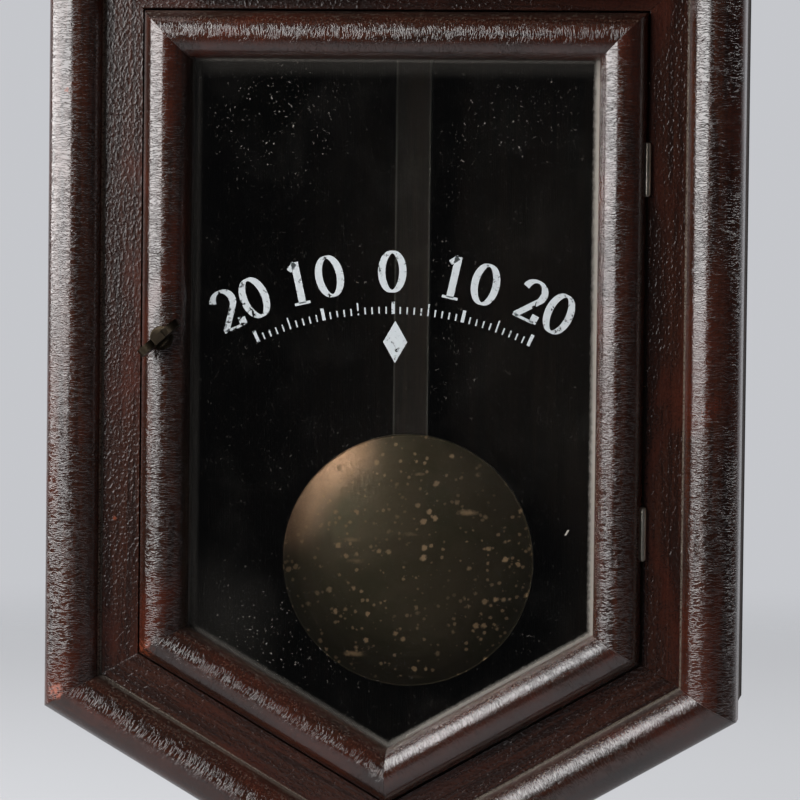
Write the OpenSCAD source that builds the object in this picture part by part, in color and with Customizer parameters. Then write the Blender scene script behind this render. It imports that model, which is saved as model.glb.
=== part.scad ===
// Long-drop wall clock with an eight-sided head: X to the right, Z up, the wall is the plane Y = 0 and the
// clock stands out from it towards -Y. The origin is the centre of the hanging hole at the wall.
// In the modules, depth is the distance out from the wall.

/* [Head] */
// Width across the flats of the eight-sided head
head_across = 432; // [420:1:450]
// Height from the hanging hole to the top of the head
hanger_drop = 30; // [29:0.5:36]
// Thickness of the flat boards of the head
head_t = 14; // [12:0.5:18]
// Width of the half-round moulding on the edge of the head
head_round_w = 28; // [20:1:30]
// Width of the flat wood between that moulding and the foot of the brass bezel
bezel_margin = 21.5; // [19:0.5:24]
// Width of the bezel's ring, from its foot to the view through it
bezel_w = 16.5; // [15.5:0.5:20]
// Height of the bezel in front of the head
bezel_h = 16.5; // [15.5:0.5:19]
// How far the edge of the dial pan lies inside the bezel's foot
dial_set_in = 14; // [12.5:0.5:17]
// Thickness of the dial's sheet metal
dial_t = 0.8; // [0.6:0.1:1.2]
// How far the dial pan laps over the wood round the opening in the head
dial_lap = 20.5; // [14:0.5:30]
// Furthest that the hour hand reaches from the centre
hour_reach = 78; // [60:1:90]
// Furthest that the minute hand reaches from the centre
minute_reach = 122; // [100:1:130]

/* [Lower case] */
// Width of the lower front over its outer mouldings
drop_width = 298; // [290:1:304]
// Distance from the wall to the flat face of the lower front
case_depth = 96; // [94:1:104]
// Thickness of the lower front
front_t = 12; // [10:0.5:14]
// Height to which the lower front runs up behind the head
front_lap = 62; // [58:1:64]
// Width of the half-round moulding on the edge of the lower front
edge_round_w = 24; // [18:0.5:28]
// Width of the flat strip between the outer moulding and the door
strip_w = 17.2; // [12:0.2:22]
// Slope of the two lower rails in degrees
slope = 30; // [24:1:36]
// Thickness of the back board
back_t = 10; // [8:0.5:12]
// Thickness of the side, bottom, shoulder and top boards
board_t = 9; // [7:0.5:12]
// How far those boards stand in from the edge of the lower front
board_inset = 3; // [2:0.5:6]
// How far the boards of the head stand in from the edge of the head
head_inset = 21; // [19:0.5:22]

/* [Door] */
// Height of the flat front between the head and the door
head_to_door = 7; // [5:0.5:12]
// Height of the straight side of the door
door_side = 275.5; // [260:0.5:290]
// Width of the door's half-round members
door_round_w = 20.3; // [18:0.1:24]
// Gap round the door
door_gap = 0.8; // [0.8:0.1:1.6]
// Thickness of the glass
glass_t = 2; // [1.6:0.1:3]
// How far the glass lies behind the flat front
glass_setback = 4; // [3:0.5:5]
// Depth of the groove that holds the edge of the glass
glass_rebate = 5; // [4:0.5:6]
// Length of each hinge
hinge_len = 21; // [18:0.5:26]
// Height of the middle of the upper hinge below the top of the door
hinge_top = 66; // [50:1:80]
// Height between the middles of the hinges
hinge_spacing = 154.2; // [130:0.2:170]
// Height of the turn below the top of the door
turn_drop = 139.8; // [120:0.2:160]
// Length of the turn's thumb piece
turn_len = 21.6; // [16:0.2:26]
// Tilt of the thumb piece from level when the door is free to open, in degrees
turn_tilt = 41; // [0:1:60]

/* [Pendulum] */
// Length from the bend of the suspension spring to the middle of the bob
pendulum_len = 547.2; // [530:0.2:556]
// Diameter of the bob
bob_d = 111; // [100:1:116]
// Height of the bob's crown in front of its rim
bob_crown = 9; // [7:0.5:11]
// Thickness of the bob's rim
bob_rim = 3.6; // [3:0.2:5]
// Width of the wooden rod
rod_w = 15.5; // [12:0.5:18]
// Thickness of the wooden rod
rod_t = 6; // [5:0.5:7]
// Distance from the wall to the middle of the rod
rod_depth = 25; // [23.5:0.5:27]

/* [Movement] */
// Length of the posts between the back board and the movement
post_len = 38; // [37:0.5:42]
// Clear distance between the two plates
plate_gap = 36; // [36:0.5:38]
// Thickness of the plates
plate_t = 2; // [1.6:0.1:2.4]
// Module of the great wheel and the centre pinion
great_m = 0.9; // [0.88:0.01:0.92]
// Module of the centre wheel and the third pinion
centre_m = 0.9; // [0.88:0.01:0.92]
// Module of the third wheel and the escape pinion
third_m = 0.85; // [0.83:0.01:0.87]
// Module of the cannon pinion and the minute wheel
motion_m = 0.8; // [0.78:0.01:0.82]
// Radius of the escape wheel over its teeth
escape_r = 20; // [18:0.5:20.5]
// Height of the verge above the escape arbor
verge_up = 27.2; // [27:0.1:29]
// Width of the mainspring
spring_w = 18; // [14:0.5:18]
// Number of turns of the mainspring
spring_turns = 9; // [6:1:10]

/* [Hidden] */
$fn = 72;

eps = 0.01;
// Hairline left open at each end of a mitred piece
hair = 0.05;
// Running clearance between a shaft and its hole
run = 0.05;
// Gap between parts that move past each other
play = 0.3;

// Heights
dial_z = hanger_drop - head_across / 2;
centre = [0, dial_z];
door_top = dial_z - head_across / 2 - head_to_door;
door_corner = door_top - door_side;
front_top = dial_z - head_across / 2 + front_lap;

// Half widths in the lower front, from outside in
drop_half = drop_width / 2;
strip_half = drop_half - edge_round_w;
door_half = strip_half - strip_w;
glass_half = door_half - door_round_w;
board_half = drop_half - board_inset;

// Depths, measured out from the wall
front_back = case_depth - front_t;
head_face = case_depth + head_t;
glass_front = case_depth - glass_setback;
glass_back = glass_front - glass_t;

// Radii of the bezel's foot, the view through it, the dial pan and the opening behind it
bezel_foot = head_across / 2 - head_round_w - bezel_margin;
view_r = bezel_foot - bezel_w;
dial_r = bezel_foot - dial_set_in;
opening_r = dial_r - dial_lap;

// Corner and tip heights of an outline parallel to the door's, for its half width
function corner_z(half) = door_corner - (half - door_half) * tan(45 - slope / 2);
function rail_z(half, x) = corner_z(half) - (half - x) * tan(slope);
function tip_z(half) = rail_z(half, 0);

function drop_outline(half, top) = [[-half, top], [half, top], [half, corner_z(half)], [0, tip_z(half)],
  [-half, corner_z(half)]];
function stile_points(a, b, top_a, top_b) =
  [[a, top_a - hair], [b, top_b - hair], [b, corner_z(b) + hair], [a, corner_z(a) + hair]];
function rail_points(a, b) =
  [[a, corner_z(a)], [b, corner_z(b)], [hair, rail_z(b, hair)], [hair, rail_z(a, hair)]];

// The head's eight sides: reach of the slanted sides, and their height at a given half width
function slant(inset) = (head_across / 2 - inset) * sqrt(2);
function shoulder_z(half, inset) = dial_z + slant(inset) - half;
function head_corner(half) = half * tan(22.5) - hair;
inner_inset = head_inset + board_t;

function polar(c, r, a) = [c[0] + r * cos(a), c[1] + r * sin(a)];
function arc(c, r, a0, a1, n) = [for (i = [0 : n]) polar(c, r, a0 + (a1 - a0) * i / n)];

// Outline of a rectangle with rounded corners, from its limits across and in height
function rounded(x, z, r) = concat(arc([x[1] - r, z[1] - r], r, 0, 90, 4),
  arc([x[0] + r, z[1] - r], r, 90, 180, 4), arc([x[0] + r, z[0] + r], r, 180, 270, 4),
  arc([x[1] - r, z[0] + r], r, 270, 360, 4));

// A flat piece drawn as seen from the front, between two depths
module slab(points, d0, d1) {
  translate([0, -d0, 0]) rotate([90, 0, 0]) linear_extrude(d1 - d0) polygon(points);
}

// A round bar or hole that runs along the depth
module post(c, r, d0, d1) {
  translate([c[0], -d0, c[1]]) rotate([90, 0, 0]) cylinder(r = r, h = d1 - d0);
}

// A box by its limits across, in depth and in height
module block(x, d, z) {
  translate([x[0], -d[1], z[0]]) cube([x[1] - x[0], d[1] - d[0], z[1] - z[0]]);
}

// A round bar in a plane parallel to the wall, from one point to another and beyond by over
module bar(p, q, r, d, over = 0) {
  translate([p[0], -d, p[1]]) rotate([0, atan2(q[0] - p[0], q[1] - p[1]), 0]) translate([0, 0, -over])
    cylinder(r = r, h = norm(q - p) + 2 * over);
}

// The front half of a round bar, cut to an outline
module half_round(points, p, q, r, d) {
  intersection() {
    slab(points, d, d + r + 1);
    bar(p, q, r, d, 3 * r);
  }
}

module both_sides() {
  children();
  mirror([1, 0, 0]) children();
}

// Back of the case

module case_outline(half, inset) {
  edge = slant(inset) - (head_across / 2 - inset);
  slab([[-edge, board_top], [edge, board_top], [half, shoulder_z(half, inset)], [half, corner_z(half)],
    [0, tip_z(half)], [-half, corner_z(half)], [-half, shoulder_z(half, inset)]], 0, back_t);
}

board_top = hanger_drop - head_inset;
hanger_t = 1.6;
hanger_w = 32;
hanger_h = 34;
hanger_r = 4;
hanger_top = board_top - 1;
hanger_let_in = 0.2;
hanger_pocket_r = 8;
hanger_screw_x = 9;
hanger_screw_z = hanger_top - hanger_h + 7;
hanger_screw_r = 1.5;
hanger_screw_len = 7;
hanger_sink_r = 2.8;
hanger_sink_h = 1.2;
hanger_slot_w = 0.7;
hanger_slot_h = 0.6;

module hanger_outline(grow, d0, d1) {
  w = hanger_w / 2 + grow;
  slab(rounded([-w, w], [hanger_top - hanger_h - grow, hanger_top + grow], 4), d0, d1);
}

module hanger_screw_places() {
  for (x = [-hanger_screw_x, hanger_screw_x]) translate([x, 0, hanger_screw_z]) children();
}

module back_board() {
  color([0.09, 0.06, 0.05]) difference() {
    case_outline(board_half, head_inset);
    hanger_outline(hanger_let_in, -1, hanger_t);
    post([0, 0], hanger_pocket_r, 0, back_t - 2);
    hanger_screw_places() post([0, 0], hanger_screw_r, 0, hanger_screw_len);
    for (c = post_places) post(c, thread_r + run, -1, back_t + 1);
    for (c = post_places) post(c, nut_across / 2 + 1, -1, post_nut_depth + nut_t);
  }
}

module hanger_plate() {
  color([0.55, 0.45, 0.25]) difference() {
    hanger_outline(0, 0, hanger_t);
    post([0, 0], hanger_r, -1, hanger_t + 1);
    hanger_screw_places() post([0, 0], hanger_screw_r, -1, hanger_t + 1);
    hanger_screw_places() sunk_head(run);
  }
}

// The cone of a sunk screw head, which lies flush with the wall
module sunk_head(grow) {
  rotate([90, 0, 0]) cylinder(r1 = hanger_sink_r + grow, r2 = hanger_screw_r + grow, h = hanger_sink_h);
}

module hanger_screws() {
  color([0.35, 0.33, 0.3]) hanger_screw_places() difference() {
    union() {
      post([0, 0], hanger_screw_r, 0, hanger_screw_len);
      sunk_head(0);
    }
    block([-hanger_sink_r, hanger_sink_r], [-1, hanger_slot_h], [-hanger_slot_w / 2, hanger_slot_w / 2]);
  }
}

// Side boards, with the step that takes the lower front
module case_sides() {
  a = board_half - board_t;
  top_a = shoulder_z(a, inner_inset);
  top_b = shoulder_z(board_half, head_inset);
  color([0.16, 0.07, 0.05]) both_sides() difference() {
    slab(stile_points(a, board_half, top_a, top_b), back_t, case_depth);
    block([0, board_half + 1], [front_back, case_depth + 1], [tip_z(board_half), front_top]);
  }
}

module case_bottom_boards() {
  color([0.16, 0.07, 0.05]) both_sides()
    slab(rail_points(board_half - board_t, board_half), back_t, front_back);
}

// Top board and the two shoulder boards under the slanted sides of the head
module case_head_boards() {
  low = board_top - board_t;
  edge = slant(head_inset) - (head_across / 2 - head_inset);
  in_edge = slant(inner_inset) - (head_across / 2 - inner_inset);
  a = board_half - board_t;
  color([0.16, 0.07, 0.05]) {
    slab([[-edge, board_top], [edge, board_top], [in_edge, low], [-in_edge, low]], back_t, case_depth);
    both_sides() slab([[in_edge + hair, low - hair], [edge + hair, board_top - hair],
      [board_half, shoulder_z(board_half, head_inset)], [a, shoulder_z(a, inner_inset)]], back_t, case_depth);
  }
}

// Lower front

front_half = door_half + door_gap;
front_open = door_top + door_gap;

module front_stile() {
  top = front_open + drop_half - front_half;
  slab(stile_points(front_half, drop_half, front_open, top), front_back, case_depth);
}

module front_stile_left() {
  color([0.23, 0.08, 0.05]) mirror([1, 0, 0]) front_stile();
}

module front_stile_right() {
  color([0.23, 0.08, 0.05]) difference() {
    front_stile();
    hinge_mortises(1);
  }
}

module front_rails_lower() {
  color([0.23, 0.08, 0.05]) both_sides() slab(rail_points(front_half, drop_half), front_back, case_depth);
}

module front_rail_top() {
  mitre = front_open + drop_half - front_half;
  color([0.23, 0.08, 0.05]) slab([[-front_half, front_open], [front_half, front_open], [drop_half, mitre],
    [drop_half, front_top], [-drop_half, front_top], [-drop_half, mitre]], front_back, case_depth);
}

module edge_moulding() {
  r = edge_round_w / 2;
  m = drop_half - r;
  points = [[strip_half, octagon_below(strip_half)], [drop_half, octagon_below(drop_half)],
    [drop_half, corner_z(drop_half) + hair], [strip_half, corner_z(strip_half) + hair]];
  half_round(points, [m, octagon_below(m)], [m, corner_z(m)], r, case_depth);
}

// Height of the head's lower edge at a given distance from the middle
function octagon_below(x) = dial_z - min(head_across / 2, slant(0) - x);

module edge_mouldings_side() {
  color([0.3, 0.1, 0.07]) both_sides() edge_moulding();
}

module edge_mouldings_lower() {
  r = edge_round_w / 2;
  m = drop_half - r;
  color([0.3, 0.1, 0.07]) both_sides()
    half_round(rail_points(strip_half, drop_half), [m, corner_z(m)], [0, tip_z(m)], r, case_depth);
}

// Head

module around_head() {
  for (k = [0 : 7]) translate([0, 0, dial_z]) rotate([0, 45 * k, 0]) children();
}

function head_side(a, b) =
  [[-head_corner(a), a], [-head_corner(b), b], [head_corner(b), b], [head_corner(a), a]];

// Eight mitred boards round a round opening
module head_frame() {
  color([0.23, 0.08, 0.05]) difference() {
    around_head() slab(head_side(opening_r * cos(30), head_across / 2), case_depth, head_face);
    post(centre, opening_r, case_depth - 1, head_face + 1);
    for (c = concat(dial_screws, fitting_screws)) post(c, screw_r, head_face - screw_len, head_face + 1);
  }
}

module head_moulding() {
  r = head_round_w / 2;
  m = head_across / 2 - r;
  color([0.3, 0.1, 0.07]) around_head()
    half_round(head_side(m - r, m + r), [-head_corner(m), m], [head_corner(m), m], r, head_face);
}

// Door

door_r = door_round_w / 2;
door_mid = door_half - door_r;
glass_play = 0.2;
bead_setback = 0.4;

module door_member(points, p, q) {
  slab(points, front_back, case_depth);
  half_round(points, p, q, door_r, case_depth - eps);
}

module glass_space(grow, d0, d1) {
  half = glass_half + glass_rebate + grow;
  slab(drop_outline(half, door_top - door_round_w + glass_rebate + grow), d0, d1);
}

module door_stile() {
  difference() {
    door_member(stile_points(glass_half, door_half, door_top - door_round_w, door_top),
      [door_mid, door_top], [door_mid, corner_z(door_mid)]);
    glass_space(0, front_back - 1, glass_front);
  }
}

module door_stile_left() {
  c = [-door_mid, turn_z];
  color([0.33, 0.12, 0.08]) difference() {
    mirror([1, 0, 0]) door_stile();
    post(c, spindle_r + run, front_back - 1, case_depth + door_r + 1);
    post(c, collar_r + 0.2, collar_seat, case_depth + door_r + 1);
  }
}

module door_stile_right() {
  color([0.33, 0.12, 0.08]) difference() {
    door_stile();
    hinge_mortises(-1);
  }
}

module door_rail_top() {
  top = door_top - door_round_w;
  color([0.33, 0.12, 0.08]) difference() {
    door_member([[-glass_half, top], [-door_half, door_top], [door_half, door_top], [glass_half, top]],
      [-door_half, door_top - door_r], [door_half, door_top - door_r]);
    glass_space(0, front_back - 1, glass_front);
  }
}

module door_rails_lower() {
  color([0.33, 0.12, 0.08]) both_sides() difference() {
    door_member(rail_points(glass_half, door_half), [door_mid, corner_z(door_mid)], [0, tip_z(door_mid)]);
    glass_space(0, front_back - 1, glass_front);
  }
}

module door_glass() {
  color([0.6, 0.65, 0.65, 0.3]) glass_space(-glass_play, glass_back, glass_front);
}

module door_glass_beads() {
  a = glass_half + bead_setback;
  b = glass_half + glass_rebate;
  low = door_top - door_round_w + bead_setback;
  top = door_top - door_round_w + glass_rebate;
  color([0.2, 0.09, 0.06]) {
    both_sides() slab(stile_points(a, b, low, top), front_back, glass_back);
    both_sides() slab(rail_points(a, b), front_back, glass_back);
    slab([[-a, low], [-b, top], [b, top], [a, low]], front_back, glass_back);
  }
}

// Hinges of the door

hinge_r = 1.5;
hinge_proud = 1.2;
hinge_x = door_half + door_gap / 2;
hinge_depth = case_depth + hinge_proud;
hinge_zs = [door_top - hinge_top, door_top - hinge_top - hinge_spacing];
leaf_t = 0.75;
leaf_gap = 0.2;
leaf_w = 11;
knuckle_len = hinge_len / 3;
knuckle_gap = 0.15;
leaf_play = 0.1;
pin_r = 0.8;
pin_head_over = 0.5;
pin_head_h = 1;

// Cuts for the leaves and knuckles in the wood, on the door with side -1 and on the case with side 1
module hinge_mortises(side) {
  h = hinge_len + 2 * pin_head_h + 2 * play;
  for (z = hinge_zs) translate([hinge_x, 0, z]) {
    translate([0, -hinge_depth, -h / 2]) cylinder(r = hinge_r + play, h = h);
    leaf_space(side, leaf_play);
  }
}

module leaf_space(side, grow) {
  near = leaf_gap - grow;
  far = leaf_gap + leaf_t;
  x = side > 0 ? [near, far] : [-far, -near];
  block(x, [hinge_depth - leaf_w - grow, hinge_depth - hinge_r + grow],
    [-hinge_len / 2 - grow, hinge_len / 2 + grow]);
}

// One knuckle between two heights, with the web that joins it to its leaf
module knuckle(side, z0, z1, bore) {
  x = side > 0 ? [leaf_gap, leaf_gap + leaf_t] : [-leaf_gap - leaf_t, -leaf_gap];
  difference() {
    union() {
      translate([0, -hinge_depth, z0]) cylinder(r = hinge_r, h = z1 - z0);
      block(x, [hinge_depth - hinge_r - 0.5, hinge_depth - pin_r], [z0, z1]);
    }
    translate([0, -hinge_depth, z0 - 1]) cylinder(r = bore, h = z1 - z0 + 2);
  }
}

// An upright pin with a head on each end, at a place across and in depth
module hinge_pin(x, depth, z, r, len) {
  head_r = r + pin_head_over;
  step = pin_head_h / 2;
  translate([x, -depth, z]) {
    translate([0, 0, -len / 2]) cylinder(r = r, h = len);
    for (m = [0, 1]) mirror([0, 0, m]) translate([0, 0, len / 2]) {
      cylinder(r = head_r, h = step);
      translate([0, 0, step]) cylinder(r1 = head_r, r2 = head_r / 2, h = step);
    }
  }
}

module hinge_leaf(side, bore, spans) {
  for (z = hinge_zs) translate([hinge_x, 0, z]) {
    difference() {
      leaf_space(side, 0);
      translate([0, -hinge_depth, -hinge_len]) cylinder(r = hinge_r + play, h = 2 * hinge_len);
    }
    for (s = spans) knuckle(side, s[0], s[1], bore);
  }
}

module door_hinge_leaves() {
  k = knuckle_len / 2 - knuckle_gap;
  color([0.55, 0.42, 0.2]) hinge_leaf(-1, pin_r + run, [[-k, k]]);
}

module case_hinge_leaves() {
  k = knuckle_len / 2;
  e = hinge_len / 2;
  color([0.5, 0.38, 0.18]) hinge_leaf(1, pin_r, [[-e, -k], [k, e]]);
}

// The pins of the door's two hinges and of the bezel's
module hinge_pins() {
  color([0.62, 0.5, 0.27]) {
    for (z = hinge_zs) hinge_pin(hinge_x, hinge_depth, z, pin_r, hinge_len);
    hinge_pin(bezel_pin_x, bezel_pin_depth, dial_z, bezel_pin_r, bezel_hinge_len);
  }
}

// Turn that fastens the door

turn_z = door_top - turn_drop;
spindle_r = 2.5;
collar_r = 5;
collar_t = 1.4;
collar_seat = case_depth + door_r - 1;
neck_r = 3.7;
neck_h = 5;
lobe_r = 4.6;
thumb_t = 3.4;
tongue_t = 1.7;
tongue_w = 7;
tongue_len = 19;
keeper_t = 0.8;
keeper_w = 13;
keeper_h = 22;
tongue_front = front_back - keeper_t - play;

module turn_collar() {
  c = [-door_mid, turn_z];
  color([0.3, 0.25, 0.15]) difference() {
    post(c, collar_r, collar_seat, collar_seat + collar_t);
    post(c, spindle_r + run, collar_seat - 1, collar_seat + collar_t + 1);
  }
}

// Two round lobes on a waist, standing on the spindle
module turn_thumb_piece() {
  base = collar_seat + collar_t + play;
  reach = turn_len / 2 - lobe_r;
  lobe_out = lobe_r + play;
  web_h = 1.3 * lobe_r;
  color([0.14, 0.12, 0.1]) {
    post([-door_mid, turn_z], spindle_r, tongue_front - tongue_t - 1.2, base + 2);
    translate([-door_mid, -base, turn_z]) rotate([0, -turn_tilt, 0]) {
      rotate([90, 0, 0]) cylinder(r = neck_r, h = neck_h);
      for (s = [-1, 1]) translate([s * reach, -lobe_out, -thumb_t / 2]) cylinder(r = lobe_r, h = thumb_t);
      translate([-reach, -lobe_out - web_h / 2, -thumb_t / 2]) cube([2 * reach, web_h, thumb_t]);
    }
  }
}

// The tongue points up when the door is free, and a quarter turn swings it behind the keeper
module turn_tongue() {
  c = [-door_mid, turn_z];
  end = [-door_mid, turn_z + tongue_len - tongue_w / 2];
  h = tongue_w / 2;
  back = tongue_front - tongue_t;
  color([0.5, 0.42, 0.25]) difference() {
    union() {
      post(c, h, back, tongue_front);
      post(end, h, back, tongue_front);
      block([c[0] - h, c[0] + h], [back, tongue_front], [c[1], end[1]]);
    }
    post(c, spindle_r, back - 1, tongue_front + 1);
  }
}

module turn_keeper() {
  x = [-front_half - keeper_w, -front_half - 2 * play];
  z = [turn_z - keeper_h / 2, turn_z + keeper_h / 2];
  color([0.5, 0.42, 0.25]) slab(rounded(x, z, 2), front_back - keeper_t, front_back);
}

// Dial and bezel

dial_front = head_face + dial_t;
dial_rim_h = 2.2;
centre_hole = 6.4;
winding_hole = 7.5;
strap_t = 0.8;
screw_r = 1.2;
screw_len = 7.5;
screw_head_r = 2.2;
screw_head_h = 0.9;
slot_w = 0.6;
slot_h = 0.45;
bezel_lift = 0.4;
bezel_lip = 4;
bezel_foot_t = 2.4;
groove_play = 0.1;
groove_wall = 2.4;
bezel_back = head_face + bezel_lift;
bezel_front = head_face + bezel_h;
bezel_glass_t = 2;
bezel_glass_front = bezel_front - bezel_lip - 0.4;
bezel_glass_back = bezel_glass_front - bezel_glass_t;
bezel_glass_r = view_r + 3.4;

// Hinge of the bezel at the right of the head, and its catch at the left
bezel_pin_x = bezel_foot + 2.6;
bezel_pin_depth = head_face + 2.6;
bezel_hinge_len = 24;
bezel_knuckle_len = 10;
bezel_knuckle_r = 2;
bezel_pin_r = 1;
bracket_w = 10;
bracket_screw_x = bezel_pin_x + 6.4;
catch_x = -bezel_foot - play;
catch_w = 11;
catch_screw_x = catch_x - 6.5;
// Distance of the dial's screws from its middle, on the wood between the opening and the rim
dial_screw_at = (opening_r + dial_r) / 2;
dial_screws = [for (a = [45 : 90 : 315]) polar(centre, dial_screw_at, a)];
fitting_screws = [for (s = [-1, 1]) each
  [centre + [bracket_screw_x, s * 7.5], centre + [catch_screw_x, s * 3.5]]];

// A section turned round the dial's middle, given as distances from the axis and out from a depth
module turned(points, depth, facets = 96) {
  translate([0, -depth, dial_z]) rotate([90, 0, 0]) rotate_extrude($fn = facets) polygon(points);
}

// Painted sheet with a turned-up rim
module dial_pan() {
  r = dial_r;
  color([0.86, 0.82, 0.7]) difference() {
    turned([[0, 0], [r, 0], [r, dial_rim_h], [r - 0.8, dial_rim_h + 0.4], [r - 2.6, dial_rim_h],
      [r - 4.4, dial_t], [0, dial_t]], head_face);
    post(centre, centre_hole, head_face - 1, dial_front + 1);
    post(great_c, winding_hole, head_face - 1, dial_front + 1);
    for (c = dial_screws) post(c, screw_r, head_face - 1, dial_front + 1);
  }
}

// A screw with its head on a seat, and a slot that stands at an angle of its own
module brass_screw(c, seat) {
  post(c, screw_r, head_face - screw_len, seat);
  translate([c[0], -seat, c[1]]) difference() {
    rotate([90, 0, 0]) cylinder(r1 = screw_head_r, r2 = 0.6 * screw_head_r, h = screw_head_h);
    rotate([0, 7 * c[0], 0]) block([-screw_head_r, screw_head_r],
      [screw_head_h - slot_h, screw_head_h + 1], [-slot_w / 2, slot_w / 2]);
  }
}

module brass_screws() {
  color([0.6, 0.5, 0.3]) {
    for (c = dial_screws) brass_screw(c, dial_front);
    for (c = fitting_screws) brass_screw(c, head_face + strap_t);
  }
}

// The ring's section: a foot, a hollow curved flank, a rounded lip, and a groove that holds the glass
module bezel_ring() {
  foot = bezel_foot;
  view = view_r;
  lip = bezel_lip / 2;
  rise = bezel_front - bezel_back - bezel_foot_t - lip;
  run_in = foot - view - 3 * lip;
  flank = [for (i = [0 : 6]) [foot - run_in * sin(15 * i), bezel_foot_t + rise * (1 - cos(15 * i))]];
  edge = arc([view + 2 * lip, bezel_front - bezel_back - lip], lip, 0, 180, 6);
  g0 = bezel_glass_back - bezel_back - groove_play;
  g1 = bezel_glass_front - bezel_back + groove_play;
  groove = bezel_glass_r + groove_play;
  wall = bezel_glass_r + groove_wall;
  color([0.72, 0.55, 0.27]) {
    turned(concat([[wall, 0], [foot, 0]], flank, edge, [[view, g1], [groove, g1], [groove, g0],
      [view + 1.4, g0], [view + 1.4, g0 - 1.2], [wall, g0 - 1.2]]), bezel_back);
    bezel_knuckle();
  }
}

module bezel_knuckle() {
  z = bezel_knuckle_len / 2 - knuckle_gap;
  translate([0, 0, dial_z]) difference() {
    union() {
      translate([bezel_pin_x, -bezel_pin_depth, -z]) cylinder(r = bezel_knuckle_r, h = 2 * z);
      block([bezel_foot - 1.5, bezel_pin_x], [bezel_pin_depth - 1.8, bezel_pin_depth - 0.2], [-z, z]);
    }
    translate([bezel_pin_x, -bezel_pin_depth, -z - 1]) cylinder(r = bezel_pin_r + run, h = 2 * z + 2);
  }
}

module bezel_hinge_bracket() {
  k = bezel_knuckle_len / 2;
  e = bezel_hinge_len / 2;
  color([0.66, 0.5, 0.25]) difference() {
    translate([0, 0, dial_z]) difference() {
      union() {
        block([bezel_pin_x, bezel_pin_x + bracket_w], [head_face, head_face + strap_t], [-e, e]);
        for (s = [[-e, -k], [k, e]]) {
          translate([bezel_pin_x, -bezel_pin_depth, s[0]]) cylinder(r = bezel_knuckle_r, h = s[1] - s[0]);
          block([bezel_pin_x, bezel_pin_x + bezel_knuckle_r], [head_face, bezel_pin_depth], s);
        }
      }
      translate([bezel_pin_x, -bezel_pin_depth, -k]) cylinder(r = bezel_knuckle_r + play, h = 2 * k);
      translate([bezel_pin_x, -bezel_pin_depth, -e - 1]) cylinder(r = bezel_pin_r, h = 2 * e + 2);
    }
    for (c = fitting_screws) post(c, screw_r, head_face - 1, head_face + strap_t);
  }
}

// A bent spring strip that presses on the bezel's left edge
module bezel_catch() {
  x = catch_x;
  z = dial_z;
  color([0.66, 0.5, 0.25]) difference() {
    union() {
      block([x - catch_w, x], [head_face, head_face + strap_t], [z - 6.5, z + 6.5]);
      block([x - strap_t, x], [head_face, head_face + 7], [z - 4, z + 4]);
    }
    for (c = fitting_screws) post(c, screw_r, head_face - 1, head_face + strap_t);
  }
}

module bezel_glass() {
  r = bezel_glass_r;
  color([0.7, 0.75, 0.75, 0.25])
    turned([[0, 0], [r, 0], [r, bezel_glass_t], [0, bezel_glass_t]], bezel_glass_back);
}

// Hands, set to about ten past ten

hour_angle = 90 - 305;
minute_angle = 90 - 60;
hand_t = 0.8;
hour_front = head_face + 3.6;
minute_front = hour_front + hand_t + 1.5;
nut_collar_h = 0.7;
hand_nut_h = 2.1;

// A hand lies along +X: a boss, a tapered shaft, a spade and a point
module hand_shape(reach, boss, hole, spade, d1) {
  d0 = d1 - hand_t;
  s = reach - 2.6 * spade;
  difference() {
    union() {
      post([0, 0], boss, d0, d1);
      slab([[0, -boss * 0.5], [s, -boss * 0.22], [s, boss * 0.22], [0, boss * 0.5]], d0, d1);
      slab(concat(arc([s + spade * 0.2, spade * 0.55], spade * 0.62, 200, 60, 7),
        [[reach - spade * 0.5, spade * 0.16], [reach, 0], [reach - spade * 0.5, -spade * 0.16]],
        arc([s + spade * 0.2, -spade * 0.55], spade * 0.62, -60, -200, 7)), d0, d1);
    }
    post([0, 0], hole, d0 - 1, d1 + 1);
  }
}

module hour_hand() {
  color([0.06, 0.06, 0.07]) translate([0, 0, dial_z]) rotate([0, -hour_angle, 0])
    hand_shape(hour_reach, 7.5, hour_pipe_r, 8.5, hour_front);
}

module minute_hand() {
  color([0.06, 0.06, 0.07]) translate([0, 0, dial_z]) rotate([0, -minute_angle, 0])
    hand_shape(minute_reach, 6.4, cannon_pipe_r, 7, minute_front);
}

module hand_nut() {
  color([0.7, 0.55, 0.28]) difference() {
    union() {
      post(centre, 4, minute_front, minute_front + nut_collar_h);
      post(centre, 3, minute_front, minute_front + hand_nut_h);
    }
    post(centre, arbor_r, minute_front - 1, minute_front + hand_nut_h + 1);
  }
}

// Movement: places of its arbors, seen from the front

great_teeth = 96;
centre_leaves = 8;
centre_teeth = 64;
third_leaves = 8;
third_teeth = 58;
escape_leaves = 8;
escape_teeth = 42;
cannon_leaves = 12;
minute_teeth = 36;
minute_leaves = 10;
hour_teeth = 40;

great_reach = great_m * (great_teeth + centre_leaves) / 2;
third_reach = centre_m * (centre_teeth + third_leaves) / 2;
escape_reach = third_m * (third_teeth + escape_leaves) / 2;
motion_reach = motion_m * (cannon_leaves + minute_teeth) / 2;
hour_m = 2 * motion_reach / (minute_leaves + hour_teeth);
third_lean = 12.47;
motion_lean = -35;

great_c = centre - [0, great_reach];
third_c = polar(centre, third_reach, 90 + third_lean);
escape_c = [0, third_c[1] + sqrt(escape_reach * escape_reach - third_c[0] * third_c[0])];
verge_c = escape_c + [0, verge_up];
motion_c = polar(centre, motion_reach, motion_lean);
escape_side = atan2(escape_c[1] - third_c[1], escape_c[0] - third_c[0]);
bob_z = verge_c[1] - pendulum_len;

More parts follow.
